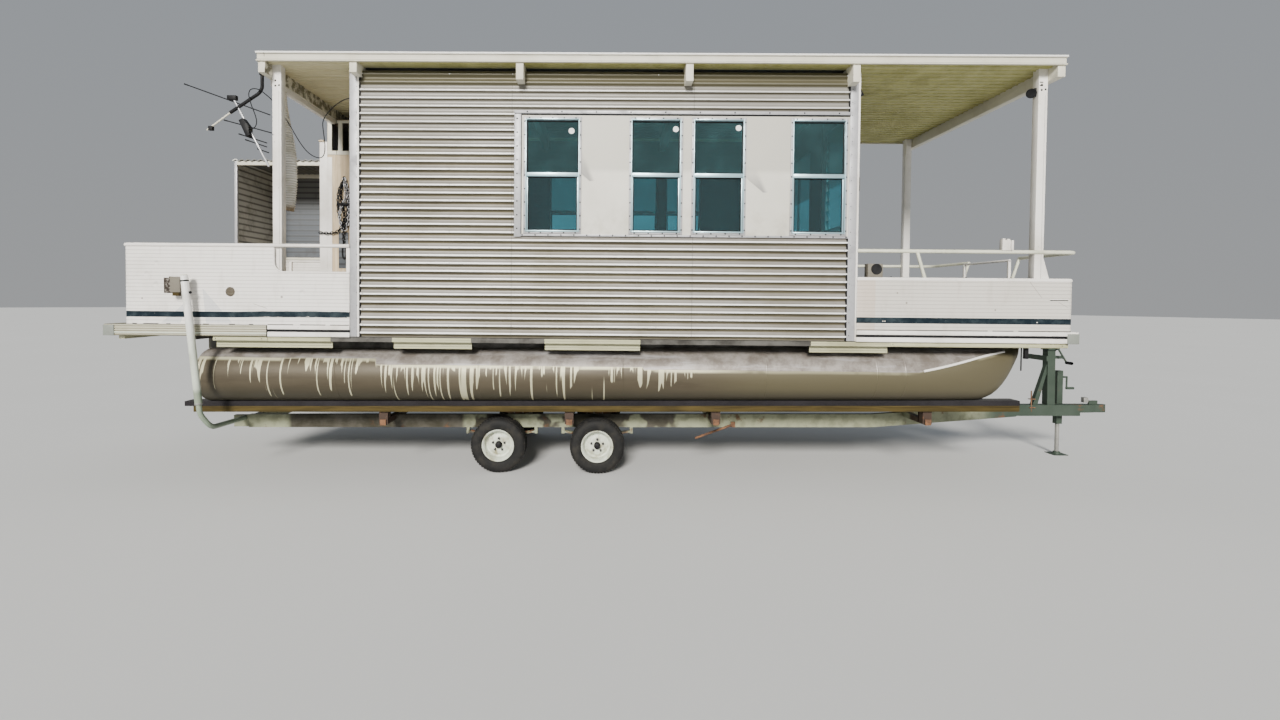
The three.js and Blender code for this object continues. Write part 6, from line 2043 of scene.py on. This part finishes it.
class HOUSEBOAT_OT_closet(Operator):
    """Closet panels and trims, its vent with louvres, and the chain that hangs on it."""

    bl_idname = "houseboat.closet"
    bl_label = "Closet"

    def execute(self, context):
        carry("plywood", "closet")
        form = Form("paint", "cream", "black")
        form.box((at(-3.066), 0.074, 1.376), (at(-2.985), 0.080, 3.284))
        form.box((at(-2.985), 0.076, 1.376), (at(-2.935), 0.080, 3.120))
        form.box((at(-2.240), 0.074, 1.376), (at(-2.2105), 0.080, 3.130))
        form.use("cream").box((at(-3.066), 0.079, 1.376), (at(-3.0655) + 0.0002, 0.082, 3.284))
        form.done("closet_trims", bevel=0.001)
        low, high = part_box("closet_vent")
        form = Form("cream", "black")
        x0, x1, y0 = low[0], high[0], low[1]
        wide = (x1 - x0 - 0.045) / 4
        form.use("cream").box((x0, y0 - 0.003, low[2]), (x1, high[1] - 0.001, low[2] + 0.042))
        form.box((x0, y0 - 0.003, high[2] - 0.030), (x1, high[1] - 0.001, high[2]))
        for k in range(5):
            x = x0 + k * wide
            form.box((x, y0 - 0.001, low[2] + 0.04), (x + 0.045, high[1] - 0.001, high[2] - 0.03))
        form.done("closet_vent_frame", replaces=("closet_vent",), bevel=0.002)
        parts = []
        for k in range(4):
            x = x0 + k * wide + 0.045 + (wide - 0.045) / 2
            values = {
                "Count": 30, "First": (x, y0 + 0.012, low[2] + 0.047), "Step": (0, 0, 0.0098),
                "Size": (wide - 0.046, 0.010, 0.002), "Tilt": (0.7, 0, 0),
            }
            parts.append(grown("slats", slat_tree, values, "black"))
        dress(join_all("closet_vent_louvres", parts))
        parts = []
        for k, (tone, line) in enumerate(CHAIN):
            path = smooth_path([(at(x), 0.064 - 0.003 * k, z) for x, z in line], 8)
            mesh = bpy.data.meshes.new("line")
            mesh.from_pydata([tuple(p) for p in path], [(i, i + 1) for i in range(len(path) - 1)], [])
            parts.append(grown("chain", chain_tree, {"Pitch": 0.030, "Wire": 0.0048}, tone, mesh))
        dress(join_all("hanging_chain", parts))
        form = Form("black", "zinc", "plywood")
        hook = at(HOOK)
        form.tube([(hook, 0.080, 2.890), (hook, 0.045, 2.885), (hook, 0.042, 2.905)], 0.005, 8)
        form.box((at(-2.872), 0.040, 2.600), (at(-2.732), 0.079, 2.628))
        turns = [k * pi / 12 for k in range(24)]
        ring = [(hook + 0.021 * cos(turn), 0.062, 2.105 + 0.075 * sin(turn)) for turn in turns]
        form.tube(ring, 0.006, 8, True)
        form.use("zinc").box((at(-2.865), 0.0765, 1.930), (at(-2.758), 0.0795, 2.318))
        form.use("plywood").box((at(-3.072), 0.060, 3.2842), (at(-3.020), 0.088, 3.300))
        form.done("chain_hook_and_ring", bevel=0.0008)
        return {"FINISHED"}


class HOUSEBOAT_OT_lean_to(Operator):
    """Lean-to of corrugated sheet on the aft fence, with its roof and frame."""

    bl_idname = "houseboat.lean_to"
    bl_label = "Lean-to"

    def execute(self, context):
        aft, fore, near, far = at(-4.195), at(-3.0653), 0.434, 1.242
        z0, z1 = 2.0811, 3.150
        port = corrugated(aft, fore, z0, z1, far, 1, 0.020, "zinc")
        end = corrugated(near, far - 0.001, z0, z1, 0.0, -1, 0.020, "zinc")
        across = Matrix(((0, 1, 0, aft), (1, 0, 0, 0), (0, 0, 1, 0), (0, 0, 0, 1)))
        end.data.transform(across)
        form = Form("zinc")
        n = 17 * 12  # waves of the roof, and stops in each
        low, high = [], []
        for i in range(n + 1):
            x = aft - 0.020 + (at(-2.990) - aft + 0.020) * i / n
            z = 3.1453 + 0.007 * (1 - cos(i * 2 * pi / 12))
            low.append((x, z))
            high.append((x, z + 0.010))
        form.prism("y", low + high[::-1], near - 0.020, far + 0.020)
        roof = form.done("sheet_roof", smooth=60)
        roof.parent = None
        whole = join_all("lean_to_sheets", [port, end, roof])
        dress(whole, replaces=("lean_to",), smooth=60)
        form = Form("trim", "cream", "plywood")
        form.box((at(-4.200), near - 0.004, z0), (at(-4.170), near + 0.026, z1))
        form.use("cream").box((aft, near, 3.105), (fore, near + 0.030, z1))
        form.box((at(-4.175), far - 0.050, 3.105), (fore, far - 0.021, z1))
        form.box((at(-4.175), far - 0.030, 2.082), (fore, far - 0.0205, 2.110))
        form.use("plywood").box((at(-3.560), far - 0.045, 2.965), (fore, far - 0.0205, 2.995))
        form.done("lean_to_frame", bevel=0.0015)
        return {"FINISHED"}


# Aerial

ROD = 0.0048
AERIAL = (
    ((-2.961, 3.560), (-2.961, 3.430), 0.014, "black"), ((-3.230, 3.211), (-3.442, 3.055), 0.007, "cream"),
    ((-3.217, 3.339), (-2.906, 2.746), 0.009, "bright"), ((-3.636, 3.449), (-2.892, 3.187), ROD, "black"),
    ((-3.294, 3.142), (-2.878, 3.033), ROD, "black"), ((-3.166, 3.024), (-2.922, 2.947), ROD, "black"),
    ((-3.110, 2.975), (-2.922, 2.913), ROD, "black"), ((-3.004, 2.897), (-2.905, 2.863), ROD, "black"),
)  # both ends in X and Z, radius and finish


class HOUSEBOAT_OT_aerial(Operator):
    """Bent aerial on the aft beam with its elements, lead box and clamp."""

    bl_idname = "houseboat.aerial"
    bl_label = "Aerial"

    def execute(self, context):
        form = Form("black", "dull")
        y = -1.240
        for (a, b), (c, d), r, tone in AERIAL:
            form.use(tone).tube([(at(a), y, b), (at(c), y, d)], r, 12)
            if r == ROD:
                fall = 0.03 * (d - b) / (c - a)
                form.tube([(at(a) - 0.001, y, b), (at(a) + 0.03, y, b + fall)], r + 0.0015, 8)
        mast = [
            (at(-2.961), y, 3.440), (at(-2.962), y, 3.418), (at(-2.985), y, 3.374), (at(-3.240), y, 3.205)
        ]
        form.use("black").tube(bend(mast, 0.03), 0.014, 14)
        outline = [
            (-3.140, 3.129), (-3.104, 3.148), (-3.0523, 3.078), (-3.0523, 3.032), (-3.043, 3.006),
            (-3.076, 2.989),
        ]
        form.prism("y", [(at(x), z) for x, z in outline], -1.290, -1.226)
        form.box((at(-3.258), -1.258, 3.312), (at(-3.180), -1.222, 3.350))
        form.box((at(-2.976), -1.262, 3.524), (at(-2.9433), -1.218, 3.590))
        form.box((at(-3.424), -1.256, 3.052), (at(-3.388), -1.224, 3.088))
        form.done("aerial_whole", replaces=("aerial",), bevel=0.0015, smooth=50)
        return {"FINISHED"}


# Trailer

BOLSTERS = (-2.017, -0.308, 1.037, 2.963)
AXLES = (("rear", -0.977), ("front", -0.055))
HUB_HIGH = 0.256
TRACK = 0.795  # from the centreline to a wheel's middle


class HOUSEBOAT_OT_trailer(Operator):
    """Trailer rails, bolsters, leaf springs with their clips, bunks and axles."""

    bl_idname = "houseboat.trailer"
    bl_label = "Trailer"

    def execute(self, context):
        carry("trailer", "trailer_frame", "trailer_tongue")
        form = Form("trailer", "rust")
        for side, _ in SIDES:
            y0, y1 = sorted((side * 0.572, side * 0.618))
            form.use("trailer").box((-3.590, y0, 0.392), (-3.440, y1, 0.504), pitched)
            for _, x in AXLES:
                for k in range(4):
                    half = 0.30 - k * 0.055
                    seat = HUB_HIGH + 0.034 - NOSE_UP * x + 0.008 * k
                    steps = [half * (-1 + i / 6) for i in range(13)]
                    line = [(x + d, seat + 0.058 * (d / 0.33) ** 2) for d in steps]
                    outline = line + [(a, z + 0.006) for a, z in line[::-1]]
                    rings = [pitched([(a, y, z) for a, z in outline]) for y in (y0 - 0.002, y1 + 0.002)]
                    form.use("rust").skin(rings)
                for d in (-0.05, 0.05):
                    form.use("dull").box(
                        (x + d - 0.006, y0 - 0.008, 0.250 - NOSE_UP * x),
                        (x + d + 0.006, y1 + 0.008, 0.345 - NOSE_UP * x), pitched,
                    )
            cut = sorted((side * 0.952, side * 0.9525))
            for x in BOLSTERS:
                form.use("rust").box((x - 0.027, cut[0], 0.470), (x + 0.027, cut[1], 0.524), pitched)
        form.use("rust").tube([(at(0.888), -0.630, 0.290), (at(1.265), -0.630, 0.430)], 0.011, 8)
        form.box((1.235, -0.642, 0.388), (1.275, -0.617, 0.440), pitched)
        form.done("springs_and_clips", bevel=0.0008)
        for side, name in SIDES:
            form = Form("bunk", "board")
            y0, y1 = sorted((side * 0.830, side * 0.970))
            form.use("bunk").box((-3.831, y0 - 0.002, 0.652), (3.778, y1 + 0.002, 0.6975), pitched)
            form.use("board").box((-3.752, y0, 0.598), (3.776, y1, 0.655), pitched)
            form.done("bunk_board_" + name, replaces=("bunk_" + name,), bevel=0.003)
        for row_name, x in AXLES:
            form = Form("rust")
            centre = (at(x), 0.0, HUB_HIGH)
            form.bar(centre, (0, 1, 0), 0.030, -0.744, 0.744, 28)
            form.bar(centre, (0, 1, 0), 0.015, -0.850, 0.850, 20)
            for side, _ in SIDES:
                form.bar((at(x), side * 0.7, HUB_HIGH), (0, 1, 0), 0.055, -0.012, 0.012, 24)
            form.done(
                "axle_beam_" + row_name, replaces=("axle_" + row_name,), bevel=0.001
            )
        return {"FINISHED"}


class HOUSEBOAT_OT_wheels(Operator):
    """Tyres with their tread, and five-stud rims with hub caps and nuts."""

    bl_idname = "houseboat.wheels"
    bl_label = "Wheels"

    def execute(self, context):
        for row_name, x in AXLES:
            for side, name in SIDES:
                key = row_name + "_" + name
                centre = (at(x), side * TRACK, HUB_HIGH)
                self.tyre(key, "wheel_" + key, centre, side)
                self.rim(key, "wheel_" + key, centre, side)
        return {"FINISHED"}

    def tyre(self, key, body, centre, side):
        half = [
            (0.1367, 0.072), (0.146, 0.0755), (0.152, 0.084), (0.160, 0.0905), (0.166, 0.0925),
            (0.172, 0.0955), (0.190, 0.0985), (0.206, 0.0985), (0.221, 0.0955), (0.233, 0.0900),
            (0.242, 0.0830), (0.2465, 0.0740), (0.2480, 0.050), (0.2490, 0.0),
        ]
        profile = half + [(r, -y) for r, y in half[-2::-1]]
        form = Form("rubber")
        form.lathe(centre, (0, 1, 0), profile, 72)
        form.lathe(
            centre, (0, side, 0), [(0.171, 0.090), (0.178, 0.0985), (0.181, 0.0985), (0.1835, 0.090)], 72
        )
        tyre = form.done("tyre", body, smooth=55)
        tyre.parent = None
        parts = [tyre]
        n = sizes().tread_blocks
        for offset, radius, turn in (
            (-0.060, 0.2475, 0), (-0.020, 0.2490, 1), (0.020, 0.2490, 0), (0.060, 0.2475, 1)
        ):
            values = {"Count": n, "Radius": radius, "Block": (0.021, 0.030, 0.012)}
            block = grown("blocks", tread_tree, values, "rubber")
            spin = Matrix.Rotation(turn * pi / n, 4, "Y")
            block.data.transform(Matrix.Translation((centre[0], centre[1] + offset, centre[2])) @ spin)
            parts.append(block)
        whole = join_all("tyre_body_" + key, parts)
        dress(whole, body, replaces=("tyre_" + key,), smooth=50)

    def rim(self, key, body, centre, side):
        form = Form("rim", "rivet", "black")
        barrel = [
            (0.0, 0.020), (0.040, 0.020), (0.060, 0.026), (0.085, 0.020), (0.104, 0.006), (0.118, 0.012),
            (0.124, 0.030), (0.128, 0.060), (0.137, 0.068), (0.140, 0.0765), (0.1475, 0.0795),
            (0.1495, 0.0840), (0.1465, 0.0862), (0.1420, 0.0830), (0.1340, 0.0763), (0.1330, 0.072),
            (0.1300, -0.072), (0.1340, -0.0763), (0.1450, -0.0840), (0.1420, -0.0860), (0.1310, -0.0780),
            (0.1260, -0.060), (0.1200, -0.020), (0.100, 0.000), (0.060, 0.010), (0.042, 0.010),
            (0.040, -0.050), (0.0, -0.050),
        ]
        form.lathe(centre, (0, side, 0), barrel, 48)
        cap = [(0.0, 0.018), (0.031, 0.018), (0.031, 0.056), (0.026, 0.066), (0.014, 0.071), (0.0, 0.072)]
        form.use("black").lathe(centre, (0, side, 0), cap, 28)
        nut = [(0.0, 0.022), (0.0115, 0.022), (0.0115, 0.040), (0.008, 0.044), (0.0, 0.044)]
        for k in range(5):
            a = 2 * pi * k / 5 + 0.3
            spot = (centre[0] + 0.057 * cos(a), centre[1], centre[2] + 0.057 * sin(a))
            form.use("rivet").lathe(spot, (0, side, 0), nut, 6)
        form.done("rim_disc_" + key, body, replaces=("rim_" + key,), smooth=35)


class HOUSEBOAT_OT_hitch(Operator):
    """Coupler, winch stand with drum and strap, jack with its crank, and guide poles with lamps."""

    bl_idname = "houseboat.hitch"
    bl_label = "Hitch, winch, jack and poles"

    def execute(self, context):
        carry("trailer", "coupler", "winch_stand", "tongue_jack")
        carry("webbing", "winch_strap")
        form = Form("dull", "webbing", "black")
        drum = pitched([(4.735, 0, 1.115)])[0]
        form.use("webbing").bar(drum, (0, 1, 0), 0.042, -0.030, 0.030, 28)
        form.use("dull")
        for y in (-0.036, 0.032):
            form.bar(drum + Vector((0, y, 0)), (0, 1, 0), 0.056, 0, 0.004, 32)
        form.use("black").tube(pitched([(4.840, -0.085, 0.950), (4.840, -0.165, 0.950)]), 0.016, 14)
        form.use("rust").tube(pitched([(4.510, -0.045, 0.428), (4.510, -0.045, 0.650)]), 0.007, 8)
        for z in (0.470, 0.560):
            form.box((4.485, -0.062, z), (4.545, -0.030, z + 0.008), pitched)
        form.use("dull").box((5.080, -0.022, 0.520), (5.125, 0.022, 0.575), pitched)
        form.done("winch_drum", bevel=0.0008)
        form = Form("black")
        form.box((at(3.672), -1.165, 1.135), (at(3.706), -1.140, 1.2365))
        form.box((at(3.640), -1.160, 1.030), (at(3.652), -1.156, 1.2365))
        form.done("strap_and_bracket", bevel=0.001)
        low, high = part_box("jack_leg")
        form = Form("dull", "trailer")
        foot = ((low[0] + high[0]) / 2, (low[1] + high[1]) / 2, 0.0)
        form.bar(foot, (0, 0, 1), 0.0195, 0.004, 0.560, 28)
        form.use("trailer").box((low[0], low[1], 0.0), (high[0], high[1], 0.006))
        form.lathe(foot, (0, 0, 1), [(0, 0.003), (0.045, 0.003), (0.030, 0.030), (0, 0.030)], 28)
        form.done("jack_leg_foot", "jack_foot", replaces=("jack_leg",), bevel=0.001)
        for side, name in SIDES:
            form = Form("pole", "dull", "lamp", "black")
            route = [
                (-3.480, side * 0.6203, 0.480), (-3.480, side * 0.700, 0.480), (-3.475, side * 0.780, 0.484),
                (-3.436, side * 1.215, 0.505), (-3.478, side * 1.300, 0.640), (-3.484, side * 1.303, 0.740),
            ]
            form.use("pole").tube(bend(pitched(route), 0.14, 8), 0.0225, 20)
            foot, head = (-3.483, side * 1.3025, 0.720), (-3.565, side * 1.340, 1.835)
            form.tube(pitched([foot, head]), 0.0300, 24)
            form.use("dull").tube(
                pitched([(-3.4835, side * 1.3027, 0.722), (-3.4845, side * 1.3030, 0.736)]), 0.0320, 24
            )
            form.use("black").tube(
                pitched([(-3.5612, side * 1.3383, 1.783), (-3.5622, side * 1.3388, 1.796)]), 0.0320, 24
            )
            form.use("cream").tube(pitched([head, (-3.5655, side * 1.340, 1.842)]), [0.0300, 0.0240], 24)
            y0, y1 = sorted((side * 1.322, side * 1.366))
            form.use("mottled").box((-3.722, y0, 1.684), (-3.672, y1, 1.815), pitched)
            form.use("housing").box((-3.673, y0 - 0.001, 1.690), (-3.585, y1 + 0.001, 1.823), pitched)
            form.use("mottled").box((-3.676, y0 - 0.002, 1.687), (-3.668, y1 + 0.002, 1.825), pitched)
            form.use("board").box((-3.655, y0 + 0.006, 1.660), (-3.600, y1 - 0.006, 1.690), pitched)
            gland = [(0, -0.012), (0.010, -0.012), (0.012, 0.006), (0, 0.008)]
            form.use("black").lathe(pitched([(-3.518, side * 1.334, 1.690)])[0], (1, 0, 0), gland, 14)
            form.done(
                "guide_pole_tube_" + name, replaces=("guide_pole_" + name,), bevel=0.0015,
                smooth=50,
            )
        return {"FINISHED"}


# Panel and registration

STEPS = (
    HOUSEBOAT_OT_stage, HOUSEBOAT_OT_cords, HOUSEBOAT_OT_pontoons, HOUSEBOAT_OT_siding, HOUSEBOAT_OT_windows,
    HOUSEBOAT_OT_roof, HOUSEBOAT_OT_posts, HOUSEBOAT_OT_aft_fence, HOUSEBOAT_OT_fore_fence,
    HOUSEBOAT_OT_gates, HOUSEBOAT_OT_decks, HOUSEBOAT_OT_doors, HOUSEBOAT_OT_closet, HOUSEBOAT_OT_lean_to,
    HOUSEBOAT_OT_aerial, HOUSEBOAT_OT_trailer, HOUSEBOAT_OT_wheels, HOUSEBOAT_OT_hitch,
)


class HOUSEBOAT_PT_steps(Panel):
    bl_label = "Houseboat"
    bl_idname = "HOUSEBOAT_PT_steps"
    bl_space_type = "VIEW_3D"
    bl_region_type = "UI"
    bl_category = "Houseboat"

    def draw(self, context):
        for group in (context.scene.houseboat_sizes, context.scene.houseboat_colours):
            box = self.layout.box()
            for key in group.__annotations__:
                box.prop(group, key)
        for step in STEPS:
            self.layout.operator(step.bl_idname)


CLASSES = (HouseboatSizes, HouseboatColours, *STEPS, HOUSEBOAT_PT_steps)


def register():
    for item in CLASSES:
        bpy.utils.register_class(item)
    bpy.types.Scene.houseboat_sizes = PointerProperty(type=HouseboatSizes)
    bpy.types.Scene.houseboat_colours = PointerProperty(type=HouseboatColours)


def unregister():
    del bpy.types.Scene.houseboat_colours
    del bpy.types.Scene.houseboat_sizes
    for item in reversed(CLASSES):
        bpy.utils.unregister_class(item)


def main():
    register()
    for step in STEPS:
        group, name = step.bl_idname.split(".")
        getattr(getattr(bpy.ops, group), name)()


if __name__ == "__main__":
    main()
